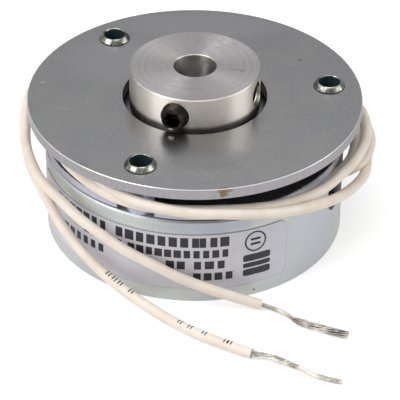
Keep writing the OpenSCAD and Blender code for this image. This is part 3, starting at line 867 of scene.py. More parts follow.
class Growth:
    """Shapes that repeat or follow a path, each grown by a Geometry Nodes tree."""

    def __init__(self) -> None:
        """Builds the trees."""
        self.coil = self._coil()
        self.twist = self._twist()
        self.teeth = self._teeth()
        self.print_row = self._print_row()

    @staticmethod
    def _start(name: str, takes: dict[str, Kind]) -> tuple[Graph, Any]:
        """Starts a tree and returns its graph and input sockets."""
        every = {"Shape": Kind.SHAPE, **takes, "Material": Kind.MATERIAL}
        graph = Graph.group(name, "GeometryNodeTree", every, {"Shape": Kind.SHAPE})
        return graph, graph.add("NodeGroupInput").outputs

    @staticmethod
    def _end(graph: Graph, shape: Any, material: Any) -> bpy.types.NodeTree:
        """Ends a tree with Realize Instances and Set Material."""
        real = graph.out("GeometryNodeRealizeInstances", {"Geometry": shape})
        done = graph.out("GeometryNodeSetMaterial", {"Geometry": real, "Material": material})
        graph.add("NodeGroupOutput", {0: done})
        return graph.tree

    @staticmethod
    def _wire(graph: Graph, sides: Any, radius: Any) -> bpy.types.NodeSocket:
        """Returns a circle curve with a number of sides."""
        return graph.out("GeometryNodeCurvePrimitiveCircle", {"Resolution": sides, "Radius": radius})

    def _coil(self) -> bpy.types.NodeTree:
        """Returns the tree of a helix: a spring, or the ridge of a thread with tapered ends."""
        takes = {"Radius": Kind.NUMBER, "Wire": Kind.NUMBER, "Pitch": Kind.NUMBER, "Turns": Kind.NUMBER,
                 "Flat Turns": Kind.NUMBER, "Taper": Kind.NUMBER, "Round Sides": Kind.COUNT}
        graph, ins = self._start("coil", takes)
        per_turn, least_taper, blunt = 32, 0.0001, 0.001
        spiral = graph.out("GeometryNodeCurveSpiral", {
            "Resolution": per_turn, "Rotations": ins["Turns"], "Start Radius": ins["Radius"],
            "End Radius": ins["Radius"], "Height": 0.0,
        })
        share = graph.add("GeometryNodeSplineParameter").outputs["Factor"]
        turn = graph.math("MULTIPLY", share, ins["Turns"])
        back = graph.math("SUBTRACT", ins["Turns"], turn)
        flat = ins["Flat Turns"]
        loose = graph.math("SUBTRACT", graph.math("MAXIMUM", turn, flat), flat)
        spare = graph.math("SUBTRACT", flat, back)
        climb = graph.math("SUBTRACT", loose, graph.math("MAXIMUM", spare, 0.0))
        height = graph.math("MULTIPLY", climb, ins["Pitch"])
        lift = graph.combine(z=height)
        moved = graph.out("GeometryNodeSetPosition", {"Geometry": spiral, "Offset": lift})
        upright = graph.out("GeometryNodeSetCurveNormal", {"Curve": moved}, mode="Z_UP")
        nearest = graph.math("MINIMUM", turn, back)
        size = graph.ramp(nearest, -blunt, graph.math("MAXIMUM", ins["Taper"], least_taper))
        sized = graph.out("GeometryNodeSetCurveRadius", {"Curve": upright, "Radius": size})
        section = self._wire(graph, ins["Round Sides"], ins["Wire"])
        swept = graph.out("GeometryNodeCurveToMesh", {
            "Curve": sized, "Profile Curve": section, "Fill Caps": True, "Scale": size,
        })
        return self._end(graph, swept, ins["Material"])

    def _twist(self) -> bpy.types.NodeTree:
        """Returns the tree of strands twisted round a path, looser and wider towards its end."""
        takes = {"Strands": Kind.COUNT, "Wire": Kind.NUMBER, "Tight": Kind.NUMBER, "Loose": Kind.NUMBER,
                 "Rise": Kind.NUMBER, "Twists": Kind.NUMBER, "Wander": Kind.NUMBER}
        graph, ins = self._start("twist", takes)
        strand_sides, waves, wave_shift, opening = 10, 2.5, 2.4, (0.36, 0.55)
        path = graph.out("GeometryNodeMeshToCurve", {"Mesh": ins["Shape"]})
        upright = graph.out("GeometryNodeSetCurveNormal", {"Curve": path}, mode="Z_UP")
        several = graph.add("GeometryNodeDuplicateElements", {"Geometry": upright, "Amount": ins["Strands"]},
                            domain="SPLINE")
        number = several.outputs["Duplicate Index"]
        share = graph.add("GeometryNodeSplineParameter").outputs["Factor"]
        outer_strands = graph.math("SUBTRACT", ins["Strands"], 1.0)
        turn = graph.math("MULTIPLY_ADD", share, ins["Twists"], graph.math("DIVIDE", number, outer_strands))
        angle = graph.math("MULTIPLY", turn, math.tau)
        outer = graph.math("MINIMUM", number, 1.0)
        looser = graph.math("SUBTRACT", ins["Loose"], ins["Tight"])
        width = graph.math("MULTIPLY", graph.ramp(share, *opening), looser)
        phase = graph.math("MULTIPLY_ADD", share, waves * math.tau, graph.math("MULTIPLY", number, wave_shift))
        wander = graph.math("MULTIPLY", graph.math("SINE", phase), ins["Wander"])
        width = graph.math("ADD", graph.math("ADD", width, ins["Tight"]), wander)
        width = graph.math("MULTIPLY", width, outer)
        rise = graph.math("MULTIPLY", ins["Rise"], outer)
        tangent = graph.out("GeometryNodeInputTangent")
        side = graph.vector("NORMALIZE", graph.vector("CROSS_PRODUCT", tangent, (0.0, 0.0, 1.0)))
        up = graph.vector("CROSS_PRODUCT", side, tangent)
        across = graph.vector("SCALE", side, factor=graph.math("MULTIPLY", graph.math("COSINE", angle), width))
        upwards = graph.vector("SCALE", up, factor=graph.math("MULTIPLY", graph.math("SINE", angle), rise))
        moved = graph.out("GeometryNodeSetPosition", {
            "Geometry": several.outputs[0], "Offset": graph.vector("ADD", across, upwards),
        })
        section = self._wire(graph, strand_sides, ins["Wire"])
        swept = graph.out("GeometryNodeCurveToMesh", {"Curve": moved, "Profile Curve": section, "Fill Caps": True})
        return self._end(graph, swept, ins["Material"])

    def _teeth(self) -> bpy.types.NodeTree:
        """Returns the tree of the small roll marks round the foot of a lip."""
        takes = {"Count": Kind.COUNT, "Ring Radius": Kind.NUMBER, "Tooth": Kind.VECTOR, "Lean": Kind.NUMBER}
        graph, ins = self._start("teeth", takes)
        segments, rings = 10, 6
        ring = self._wire(graph, ins["Count"], ins["Ring Radius"])
        points = graph.add("GeometryNodeCurveToPoints", {"Curve": ring}, mode="EVALUATED").outputs["Points"]
        ball = graph.out("GeometryNodeMeshUVSphere", {"Segments": segments, "Rings": rings, "Radius": 1.0})
        place = graph.out("GeometryNodeInputPosition")
        outward = graph.out("FunctionNodeAlignRotationToVector", {"Vector": place}, axis="X")
        lean = graph.out("FunctionNodeEulerToRotation", {0: graph.combine(y=ins["Lean"])})
        leaning = graph.out("FunctionNodeRotateRotation", {"Rotation": outward, "Rotate By": lean},
                            rotation_space="LOCAL")
        teeth = graph.out("GeometryNodeInstanceOnPoints", {
            "Points": points, "Instance": ball, "Rotation": leaning, "Scale": ins["Tooth"],
        })
        both = graph.add("GeometryNodeJoinGeometry")
        graph.feed(both.inputs[0], teeth)
        graph.feed(both.inputs[0], ins["Shape"])
        return self._end(graph, both.outputs[0], ins["Material"])

    def _print_row(self) -> bpy.types.NodeTree:
        """Returns the tree of a row of plain printed blocks, bent round the body."""
        takes = {"Blocks": Kind.COUNT, "Pitch": Kind.NUMBER, "Letter Height": Kind.NUMBER, "Thickness": Kind.NUMBER,
                 "Start Angle": Kind.NUMBER, "Height": Kind.NUMBER, "Radius": Kind.NUMBER, "Seed": Kind.COUNT}
        graph, ins = self._start("print row", takes)
        narrowest, widest, bend_points = 0.52, 0.84, 5
        step = graph.combine(x=ins["Pitch"])
        line = graph.out("GeometryNodeMeshLine", {"Count": ins["Blocks"], "Offset": step}, mode="OFFSET")
        block = graph.out("GeometryNodeMeshCube", {
            "Size": (1.0, 1.0, 1.0), "Vertices X": bend_points, "Vertices Y": 2, "Vertices Z": 2,
        })
        share = graph.add("FunctionNodeRandomValue", {"Seed": ins["Seed"]})
        for socket, value in zip((s for s in share.inputs if s.type == "VALUE"), (narrowest, widest)):
            graph.feed(socket, value)
        width = graph.math("MULTIPLY", next(s for s in share.outputs if s.type == "VALUE"), ins["Pitch"])
        scale = graph.combine(width, ins["Thickness"], ins["Letter Height"])
        row = graph.out("GeometryNodeInstanceOnPoints", {"Points": line, "Instance": block, "Scale": scale})
        real = graph.out("GeometryNodeRealizeInstances", {"Geometry": row})
        along, inwards, upwards = graph.parts(graph.out("GeometryNodeInputPosition"))
        angle = graph.math("ADD", graph.math("DIVIDE", along, ins["Radius"]), ins["Start Angle"])
        reach = graph.math("SUBTRACT", ins["Radius"], inwards)
        bent = graph.combine(
            graph.math("MULTIPLY", graph.math("COSINE", angle), reach),
            graph.math("MULTIPLY", graph.math("SINE", angle), reach),
            graph.math("ADD", upwards, ins["Height"]),
        )
        moved = graph.out("GeometryNodeSetPosition", {"Geometry": real, "Position": bent})
        return self._end(graph, moved, ins["Material"])

    def grow(self, tree: bpy.types.NodeTree, values: dict[str, Any], base: bpy.types.Mesh | None = None
             ) -> bpy.types.Mesh:
        """Runs a tree and returns the result as a plain mesh.

        Args:
            tree: The tree.
            values: Value of each named input.
            base: Mesh that the tree starts from, if it takes one.

        Returns:
            The mesh, with every instance made real.
        """
        holder = added("holder", base or bpy.data.meshes.new("empty"))
        modifier = holder.modifiers.new("growth", "NODES")
        modifier.node_group = tree
        sockets = {s.name: s.identifier for s in tree.interface.items_tree if s.in_out == "INPUT"}
        for name, value in values.items():
            modifier[sockets[name]] = value
        bpy.context.view_layer.update()
        evaluated = holder.evaluated_get(bpy.context.evaluated_depsgraph_get())
        mesh = bpy.data.meshes.new_from_object(evaluated)
        held = holder.data
        bpy.data.objects.remove(holder)
        bpy.data.meshes.remove(held)
        return mesh

    def helix(self, radius: float, wire: float, pitch: float, turns: float, material: bpy.types.Material,
              flat: float = 0.0, taper: float = 0.0, sides: int = 4) -> bpy.types.Mesh:
        """Returns a helix that rises from the origin round the Z axis.

        Args:
            radius: Radius of the helix, in millimetres.
            wire: Radius of its wire, in millimetres.
            pitch: Rise of one turn, in millimetres.
            turns: Number of turns.
            material: Its material.
            flat: Number of turns at each end that don't rise.
            taper: Number of turns over which the wire grows to its full size at each end.
            sides: Number of sides of the wire.

        Returns:
            The mesh, in metres.
        """
        return self.grow(self.coil, {
            "Radius": radius * MM, "Wire": wire * MM, "Pitch": pitch * MM, "Turns": turns, "Flat Turns": flat,
            "Taper": taper, "Round Sides": sides, "Material": material,
        })


def looking(place: Vector, target: Vector) -> Matrix:
    """Returns the matrix of a camera or lamp that looks from a place at a target, both in metres."""
    aim = (target - place).to_track_quat("-Z", "Y").to_matrix().to_4x4()
    return Matrix.Translation(place) @ aim


@dataclass(frozen=True)
class Softbox:
    """A square soft lamp that looks at the brake, as bright as a white card times its brightness."""

    name: str
    place: Place
    size: float
    brightness: float

    def build(self) -> None:
        """Makes the lamp."""
        data = bpy.data.lights.new(self.name, "AREA")
        data.size = self.size * MM
        data.energy = self.brightness * math.pi * data.size ** 2
        added(self.name, data).matrix_world = looking(metres(self.place), Vector())


@dataclass
class Studio:
    """Camera, lamps, floor and surroundings.

    The glows are the floor's light, and the three sides are steps of the surroundings' light with direction.
    """

    camera_place: Place = (0.919, -298.70, 211.50)
    camera_target: Place = (0.92, 0.0, 2.39)
    camera_roll: float = 0.518
    focal_pixels: float = 2334.35
    frame_pixels: float = 400.0
    sensor: float = 36.0
    clip: tuple[float, float] = (0.01, 20.0)
    softboxes: tuple[Softbox, ...] = (
        Softbox("left softbox", (-350.0, -225.0, 375.0), 360.0, 3.3),
        Softbox("right softbox", (495.0, -70.0, 170.0), 320.0, 1.5),
        Softbox("top softbox", (0.0, -60.0, 600.0), 500.0, 1.4),
    )
    floor_size: float = 4000.0
    floor_drop: float = 0.02
    floor_grey: float = 0.8
    floor_roughness: float = 0.9
    seen_glow: float = 0.5
    mirrored_glow: tuple[float, float] = (0.5, 0.1)
    front: float = -15.0
    rear: float = 25.0
    diffuse_light: float = 0.52
    camera_side: tuple[float, ...] = (-0.3, -0.95, 1.0, 0.36)
    far_side: tuple[float, ...] = (0.15, 0.6, 0.0, 0.85)
    far_height: tuple[float, ...] = (0.8, 0.3)

    def build(self) -> None:
        """Makes the camera, the floor, the surroundings and the lamps."""
        self._camera()
        self._floor()
        self._world()
        for softbox in self.softboxes:
            softbox.build()
        bpy.context.scene.view_settings.view_transform = "Standard"

    def _camera(self) -> None:
        """Makes the camera at the photo's place, with its slight roll."""
        data = bpy.data.cameras.new("camera")
        data.sensor_width = self.sensor
        data.lens = self.focal_pixels * self.sensor / self.frame_pixels
        data.clip_start, data.clip_end = self.clip
        camera = added("camera", data)
        roll = Matrix.Rotation(math.radians(self.camera_roll), 4, "Z")
        camera.matrix_world = looking(metres(self.camera_place), metres(self.camera_target)) @ roll
        bpy.context.scene.camera = camera

    def _floor(self) -> None:
        """Makes the pale floor, which shows white to the camera and keeps the shadow."""
        half = self.floor_size / 2 * MM
        low = -self.floor_drop * MM
        mesh = bpy.data.meshes.new("floor")
        corners = [(-half, -half, low), (half, -half, low), (half, half, low), (-half, half, low)]
        mesh.from_pydata(corners, [], [(0, 1, 2, 3)])
        floor = added("floor", mesh)
        made = bpy.data.materials.new("white_floor")
        made.use_nodes = True
        graph = Graph(made.node_tree)
        shader = made.node_tree.nodes["Principled BSDF"].inputs
        graph.feed(shader["Base Color"], (self.floor_grey,) * 3)
        graph.feed(shader["Roughness"], self.floor_roughness)
        graph.feed(shader["Specular IOR Level"], 0.0)
        graph.feed(shader["Emission Color"], WHITE)
        _, depth, _ = graph.parts(graph.add("ShaderNodeTexCoord").outputs["Object"])
        behind = graph.ramp(depth, self.front * MM, self.rear * MM, *self.mirrored_glow)
        rays = graph.add("ShaderNodeLightPath").outputs
        seen = graph.math("MULTIPLY", rays["Is Camera Ray"], self.seen_glow)
        mirrored = graph.math("MULTIPLY", rays["Is Glossy Ray"], behind)
        graph.feed(shader["Emission Strength"], graph.math("MAXIMUM", seen, mirrored))
        mesh.materials.append(made)

    def _world(self) -> None:
        """Makes the pale surroundings: white where they are mirrored, softer as light, darker low at the back."""
        world = bpy.data.worlds.new("surroundings")
        bpy.context.scene.world = world
        world.use_nodes = True
        graph = Graph(world.node_tree)
        back = world.node_tree.nodes["Background"].inputs
        direction = graph.add("ShaderNodeTexCoord").outputs["Generated"]
        _, depth, height = graph.parts(direction)
        behind_camera = graph.ramp(depth, *self.camera_side)
        dusk = graph.math("MULTIPLY", graph.ramp(depth, *self.far_side), graph.ramp(height, *self.far_height))
        fall = graph.math("MULTIPLY", behind_camera, graph.math("SUBTRACT", 1.0, dusk))
        glossy = graph.add("ShaderNodeLightPath").outputs["Is Glossy Ray"]
        strength = graph.math("MULTIPLY_ADD", glossy, 1.0 - self.diffuse_light, self.diffuse_light)
        graph.feed(back["Strength"], graph.math("MULTIPLY", strength, fall))
        graph.feed(back["Color"], WHITE)


class Assembly(ABC):
    """Pieces of the brake that are made together."""

    @abstractmethod
    def build(self, shop: Workshop, growth: Growth) -> None:
        """Makes the pieces.

        Args:
            shop: The workshop that gives them their finishes.
            growth: The trees that grow their repeated shapes.
        """


@dataclass
class Lead(Assembly):
    """One flying lead: its insulation, its bare twisted strands and its printed ticks."""

    letter: str
    route: list[Place]
    bare_route: list[Place]
    insulated_length: float
    diameter: float = 1.6
    core: float = 0.84
    ticks: tuple[float, ...] = ()
    spread: tuple[float, float] = (0.22, 0.72)
    twists: float = 0.5
    strands: int = 10
    strand_radius: float = 0.11
    rise: float = 0.235
    wander: float = 0.03
    rounding: float = 0.06
    recess: float = 0.4
    sides: int = 24
    steps: tuple[int, int] = (6, 8)

    @staticmethod
    def smooth(route: list[Place], steps: int) -> Loop:
        """Returns a smooth path through a route of direction, distance from the axis and height.

        Args:
            route: The route's points.
            steps: Stretches between two points.

        Returns:
            The points of the path, in millimetres.
        """
        flat = [polar(math.radians(a), r, z) for a, r, z in route]
        knots = [0.0]
        for before, after in zip(flat, flat[1:]):
            knots.append(knots[-1] + (after - before).length)
        stops = [Vector(point) for point in route]
        last = len(route) - 1
        slopes = []
        for k in range(last + 1):
            low, high = max(k - 1, 0), min(k + 1, last)
            slopes.append((stops[high] - stops[low]) / (knots[high] - knots[low]))
        path = []
        for k in range(last):
            span = knots[k + 1] - knots[k]
            for step in range(steps + (k == last - 1)):
                t = step / steps
                eased = t * t * (3 - 2 * t)
                bow = slopes[k] * (span * t * (1 - t) ** 2) - slopes[k + 1] * (span * t * t * (1 - t))
                a, r, z = stops[k] + (stops[k + 1] - stops[k]) * eased + bow
                path.append(polar(math.radians(a), r, z))
        return path

    @staticmethod
    def frames(path: Loop) -> list[tuple[Vector, Vector]]:
        """Returns the sideways and upward directions at each point of a path."""
        found = []
        for k in range(len(path)):
            along = (path[min(k + 1, len(path) - 1)] - path[max(k - 1, 0)]).normalized()
            side = along.cross(Vector((0, 0, 1))).normalized()
            found.append((side, side.cross(along)))
        return found

    @staticmethod
    def arc(centre: Vector, across: tuple[Vector, Vector], radius: float, turns: list[float]) -> Loop:
        """Returns the points at some angles, in radians, round a point of the path."""
        side, up = across
        return [centre + radius * (math.cos(a) * side + math.sin(a) * up) for a in turns]

    def build(self, shop: Workshop, growth: Growth) -> None:
        finishes = shop.finishes
        path = self.smooth(self.route, self.steps[0])
        frames = self.frames(path)
        radius, core, turns = self.diameter / 2, self.core / 2, around(self.sides)
        tip = (path[-1] - path[-2]).normalized()
        cut = [(self.rounding, radius), (0.0, radius - self.rounding), (0.0, core + self.rounding / 2),
               (self.rounding, core), (self.recess, core)]
        loops = [self.arc(point, across, radius, turns) for point, across in zip(path[:-1], frames)]
        loops += [self.arc(path[-1] - back * tip, frames[-1], reach, turns) for back, reach in cut]
        insulation = shop.piece(f"insulation_{self.letter}", loft(loops), finishes.insulation, Body.HOUSING,
                                (f"lead_{self.letter}",))
        bare_path = [path[-1] - self.recess * tip] + self.smooth(self.bare_route, self.steps[1])
        strands_mesh = growth.grow(growth.twist, {
            "Strands": self.strands, "Wire": self.strand_radius * MM, "Tight": self.spread[0] * MM,
            "Loose": self.spread[1] * MM, "Rise": self.rise * MM, "Twists": self.twists,
            "Wander": self.wander * MM, "Material": shop.material(finishes.tinned),
        }, line_mesh(bare_path))
        bare = shop.piece(f"bare_strands_{self.letter}", strands_mesh, finishes.tinned, Body.HOUSING,
                          (f"strands_{self.letter}",))
        if self.ticks:
            self._ticks(shop, path, frames)

    def _ticks(self, shop: Workshop, path: Loop, frames: list[tuple[Vector, Vector]]) -> bpy.types.Object:
        """Makes pairs of plain printed strokes, thin bent patches on the upper side of the insulation."""
        thickness, reach, width, pair_gap = 0.015, self.diameter / 2, 0.17, 0.5
        start, step, steps = math.radians(58.0), math.radians(16.0), 5
        arcs = [start + step * j for j in range(steps)]
        meshes = []
        for share in self.ticks:
            k = int(share * (len(path) - 2))
            along = (path[k + 1] - path[k]).normalized()
            for first in (0.0, pair_gap):
                ends = []
                for shift in (first + width, first):
                    middle = path[k] + along * shift
                    out = self.arc(middle, frames[k], reach + thickness, arcs)
                    ends.append(out + self.arc(middle, frames[k], reach - thickness, arcs[::-1]))
                meshes.append(loft(ends))
        return shop.piece(f"ticks_{self.letter}", merged(meshes), shop.finishes.ink, Body.HOUSING)


@dataclass
class SetScrews(Assembly):
    """The two socket set screws, and the threads of their holes in the hub."""

    nodes: tuple[str, ...] = ("set_screws",)
    angle: float = -107.0
    height: float = 24.1
    hub_radius: float = 9.9
    proud: tuple[float, float] = (1.4, -0.6)
    crest: float = 2.085
    pitch: float = 0.794
    length: float = 4.76
    socket: float = 2.2
    socket_depth: float = 2.2
    hole_radius: float = 2.125
    bore_radius: float = 3.175

    def screw(self, growth: Growth, material: bpy.types.Material) -> bpy.types.Mesh:
        """Returns one screw along Z with the middle of its face at the origin."""
        root = self.crest - self.pitch / 2
        face, point, middle = root - 0.06, root - 0.45, 0.02
        chamfer, edge, cone = 0.12, 0.1, 0.5
        socket_mouth, cup_depth, cup_edge, cup_rise = 1.2, 0.8, 0.3, 0.06
        loops = [
            circle(middle, -self.length + cup_depth), circle(point - cup_edge, -self.length + cup_rise),
            circle(point, -self.length), circle(root, -self.length + cone), circle(root, -chamfer),
            circle(face, 0.0), circle(self.socket / 2 * socket_mouth, 0.0), hexagon(self.socket, -edge),
            hexagon(self.socket, -self.socket_depth), circle(middle, -self.socket_depth - cone),
        ]
        plain, thickness, taper = 0.9, 0.97, 0.35
        turns = (self.length - plain) / self.pitch
        ridge = growth.helix(root, self.pitch / 2 * thickness, self.pitch, turns, material, taper=taper)
        return merged([loft(loops), shifted(ridge, 0, 0, -self.length + cone)])

    def build(self, shop: Workshop, growth: Growth) -> None:
        """Makes both screws, and the ridges of the tapped holes."""
        oxide = shop.finishes.oxide
        material = shop.material(oxide)
        inset, overlap, thickness, taper = 0.25, 0.02, 0.9, 0.3
        deep = self.bore_radius + inset
        turns = (self.hub_radius - deep - inset) / self.pitch
        screws, ridges = [], []
        for k, proud in enumerate(self.proud):
            outwards = axis_frame(self.angle + 90 * k, self.hub_radius + proud, self.height)
            screws.append(placed(self.screw(growth, material), outwards))
            ridge = growth.helix(self.hole_radius + overlap, self.pitch / 2 * thickness, self.pitch, turns, material,
                                 taper=taper)
            ridges.append(placed(ridge, axis_frame(self.angle + 90 * k, deep, self.height)))
        shop.piece("threaded_set_screws", merged(screws), oxide, Body.ROTOR, self.nodes)
        shop.piece("tapped_threads", merged(ridges), shop.finishes.thread, Body.ROTOR)


@dataclass
class Spacers(Assembly):
    """The three hollow spacers with their rolled lips."""

    nodes: tuple[str, ...] = ("spacer_front", "spacer_right", "spacer_rear")
    hole: float = 1.6
    neck: float = 1.9
    shoulder: float = 2.1
    lip: float = 2.36
    lip_height: float = 0.86
    tenon_low: float = 9.4
    shoulder_low: float = 14.42
    teeth: int = 34
    tooth: Place = (0.2, 0.12, 0.1)
    tooth_lean: float = 40.0
    tooth_height: float = 0.1
    foot: tuple[tuple[float, float], ...] = ((0.04, 0.02), (0.0, 0.07), (0.06, 0.18))
    crown: tuple[tuple[float, float], ...] = (
        (0.36, 0.1), (0.24, 0.01), (0.18, 0.0), (0.08, 0.03), (0.02, 0.1), (0.0, 0.2),
    )

    def outline(self, plate_low: float, plate: float) -> Outline:
        """Returns the section of a spacer, from its tenon to its lip.

        Args:
            plate_low: Height of the lower face of the end plate.
            plate: Height of its upper face.

        Returns:
            Radius and height of each corner.
        """
        bevel, edge, gap = 0.1, 0.08, 0.02
        top = plate + self.lip_height
        return [
            (self.hole, self.tenon_low), (self.neck - bevel, self.tenon_low), (self.neck, self.tenon_low + bevel),
            (self.neck, self.shoulder_low), (self.shoulder - edge, self.shoulder_low),
            (self.shoulder, self.shoulder_low + edge), (self.shoulder, plate_low - bevel),
            (self.shoulder - edge, plate_low - gap), (self.neck, plate_low - gap), (self.neck, plate + gap),
            *((self.lip - inwards, plate + up) for inwards, up in self.foot),
            *((self.hole + outwards, top - down) for outwards, down in self.crown),
        ]

    def build(self, shop: Workshop, growth: Growth) -> None:
        """Makes each spacer where its node lies."""
        finish = shop.finishes.spacer
        plate_low, plate = (corner.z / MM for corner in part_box("end_plate"))
        outline = self.outline(plate_low, plate)
        ring_inset, wall = 0.09, 0.01
        for node in self.nodes:
            low, high = (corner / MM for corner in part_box(node))
            shell = lathe(outline)
            inner = shell.attributes.new("inner", "FLOAT", "POINT")
            inner.data.foreach_set("value", [float(r < self.hole + wall) for r, _ in outline for _ in range(SIDES)])
            mesh = growth.grow(growth.teeth, {
                "Count": self.teeth, "Ring Radius": (self.lip - ring_inset) * MM, "Tooth": metres(self.tooth),
                "Lean": math.radians(self.tooth_lean), "Material": shop.material(finish),
            }, shifted(shell, 0, 0, -plate - self.tooth_height))
            shifted(mesh, (low.x + high.x) / 2, (low.y + high.y) / 2, plate + self.tooth_height)
            shop.piece(f"rolled_{node}", mesh, finish, Body.HOUSING, (node,))


@dataclass
class BrakeSprings(Assembly):
    """The six brake springs, wound with flat end turns."""

    count: int = 6
    outer: float = 3.4
    wire: float = 0.5
    turns: float = 6.0
    travel: float = 0.25
    flat_turns: float = 0.9
    wire_sides: int = 12

    def build(self, shop: Workshop, growth: Growth) -> None:
        """Makes all springs as one piece with a mesh of its own."""
        material = shop.material(shop.finishes.wire)
        names = tuple(f"spring_{k + 1}" for k in range(self.count))
        meshes = []
        for name in names:
            low, high = (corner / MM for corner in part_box(name))
            free = high.z - low.z - self.wire
            pitch = free / (self.turns - 2 * self.flat_turns)
            mesh = growth.helix((self.outer - self.wire) / 2, self.wire / 2, pitch, self.turns, material,
                                flat=self.flat_turns, sides=self.wire_sides)
            meshes.append(shifted(mesh, (low.x + high.x) / 2, (low.y + high.y) / 2, low.z + self.wire / 2))
        springs = shop.piece("wound_springs", merged(meshes), shop.finishes.wire, Body.HOUSING, names)
        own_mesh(springs)


@dataclass(frozen=True)
class PrintRow:
    """A row of plain printed blocks: where it starts, its height on the label and its blocks."""

    start: float
    height: float
    blocks: int
    pitch: float
    letter: float
    seed: int


@dataclass
class RatingLabel(Assembly):
    """The silver label: its film, its rows of plain blocks and two plain symbols."""

    start: float = -168.0
    end: float = -53.0
    low: float = 2.35
    high: float = 12.15
    corner: float = 1.5
    inner: float = 22.88
    thickness: float = 0.08
    ink_thickness: float = 0.03
    rows: tuple[PrintRow, ...] = (
        PrintRow(-150.0, 10.75, 7, 1.62, 1.7, 3), PrintRow(-118.5, 10.75, 8, 1.68, 1.7, 5),
        PrintRow(-86.5, 10.75, 3, 1.62, 1.7, 8),
        PrintRow(-134.0, 8.65, 5, 1.5, 1.35, 11), PrintRow(-113.6, 8.65, 11, 1.42, 1.35, 14),
        PrintRow(-150.0, 6.5, 7, 1.55, 1.4, 17),
        PrintRow(-98.6, 6.65, 2, 1.62, 1.4, 21), PrintRow(-88.4, 6.65, 3, 1.75, 1.4, 23),
        PrintRow(-88.6, 4.55, 4, 1.6, 1.35, 29),
    )

    @property
    def width(self) -> float:
        """Length of the film round the body."""
        return math.radians(self.end - self.start) * self.inner

    @property
    def tall(self) -> float:
        """Height of the film."""
        return self.high - self.low

    @property
    def face(self) -> float:
        """Radius of the printed face."""
        return self.inner + self.thickness

    def build(self, shop: Workshop, growth: Growth) -> None:
        """Makes the film and everything printed on it."""
        shop.piece("label_sheet", self._film(), shop.finishes.label, Body.HOUSING, ("rating_label",))
        ink = shop.material(shop.finishes.ink)
        meshes = []
        for row in self.rows:
            meshes.append(growth.grow(growth.print_row, {
                "Blocks": row.blocks, "Pitch": row.pitch * MM, "Letter Height": row.letter * MM,
                "Thickness": self.ink_thickness * MM, "Start Angle": math.radians(row.start),
                "Height": row.height * MM, "Radius": self.face * MM, "Seed": row.seed, "Material": ink,
            }))
        meshes += self._symbols()
        shop.piece("label_print", merged(meshes), shop.finishes.ink, Body.HOUSING)

    def _inside(self, along: float, height: float) -> float:
        """Returns how far a point of the label lies inside its rounded outline."""
        half_u, half_v = self.width / 2, self.tall / 2
        u = abs(along - half_u) - (half_u - self.corner)
        v = abs(height - self.low - half_v) - (half_v - self.corner)
        outside = math.hypot(max(u, 0), max(v, 0)) + min(max(u, v), 0)
        return self.corner - outside

    def _film(self) -> bpy.types.Mesh:
        """Returns the bent film with rounded corners and an attribute that marks its rim."""
        width, total, line = self.width, self.tall, 0.2
        near = [0.0, 0.06, 0.12, 0.2, 0.32, 0.46, 0.62, 0.8, 1.0, 1.24, 1.5]
        edge, columns = near[:6], 90
        middle = [self.corner + (width - 2 * self.corner) * k / columns for k in range(1, columns)]
        stations = near + middle + [width - u for u in reversed(near)]
        inner_rows = [2.5, 5.0, 7.5]
        rows = edge + inner_rows + [total - v for v in reversed(edge)]
        grid = []
        for u in stations:
            inset = min(u, width - u, self.corner)
            bite = self.corner - math.sqrt(max(self.corner ** 2 - (self.corner - inset) ** 2, 0))
            grid.append([(u, self.low + bite + (total - 2 * bite) * v / total) for v in rows])
        count = len(rows)
        points = []
        for reach in (self.face, self.inner):
            for column in grid:
                points += [metres(polar(math.radians(self.start) + u / self.inner, reach, v)) for u, v in column]
        back = len(grid) * count
        faces = []
        for i in range(len(grid) - 1):
            for j in range(count - 1):
                a, b = i * count + j, (i + 1) * count + j
                faces.append((a, b, b + 1, a + 1))
                faces.append((back + a, back + a + 1, back + b + 1, back + b))
        border = [i * count for i in range(len(grid))]
        border += [(len(grid) - 1) * count + j for j in range(1, count)]
        border += [i * count + count - 1 for i in reversed(range(len(grid) - 1))]
        border += list(reversed(range(1, count - 1)))
        for a, b in zip(border, border[1:] + border[:1]):
            faces.append((a, back + a, back + b, b))
        mesh = bpy.data.meshes.new("film")
        mesh.from_pydata(points, [], faces)
        rim = mesh.attributes.new("rim", "FLOAT", "POINT")
        flat = [1 - min(max(self._inside(u, v), 0.0) / line, 1.0) for column in grid for u, v in column]
        rim.data.foreach_set("value", flat * 2)
        return mesh

    def _bent(self, loops: list[Outline], ring: bool = False) -> bpy.types.Mesh:
        """Returns a thin printed shape from flat outlines, bent round the body.

        Args:
            loops: Matching outlines, from the outer to the innermost one, of arc length and height.
            ring: The shape is open in the middle and has two outlines.

        Returns:
            The mesh, in metres.
        """
        low, high = self.face - self.ink_thickness / 2, self.face + self.ink_thickness / 2

        def bend(outline: Outline, reach: float) -> Loop:
            """Returns an outline on a cylinder of the given radius."""
            return [polar(u / self.face, reach, v) for u, v in outline]

        if ring:
            outer, inner = loops
            return loft([bend(outer, low), bend(outer, high), bend(inner, high), bend(inner, low)], ring=True)
        return loft([bend(each, low) for each in reversed(loops)] + [bend(each, high) for each in loops])

    def _symbols(self) -> list[bpy.types.Mesh]:
        """Returns a ring with two bars in it, and a block of three bars."""
        sides, power = 64, 0.3
        ring_u, ring_v = math.radians(-66.5) * self.face, 9.9
        block_u, block_v = math.radians(-65.8) * self.face, 5.75

        def oval(wide: float, tall: float) -> Outline:
            """Returns an oval outline round the middle of the ring."""
            return [(ring_u + wide * math.cos(a), ring_v + tall * math.sin(a)) for a in around(sides)]

        def slab(u: float, v: float, wide: float, tall: float) -> Outline:
            """Returns a rounded oblong outline."""
            return [
                (u + wide * math.copysign(abs(math.cos(a)) ** power, math.cos(a)),
                 v + tall * math.copysign(abs(math.sin(a)) ** power, math.sin(a)))
                for a in around(sides, 0.5)
            ]

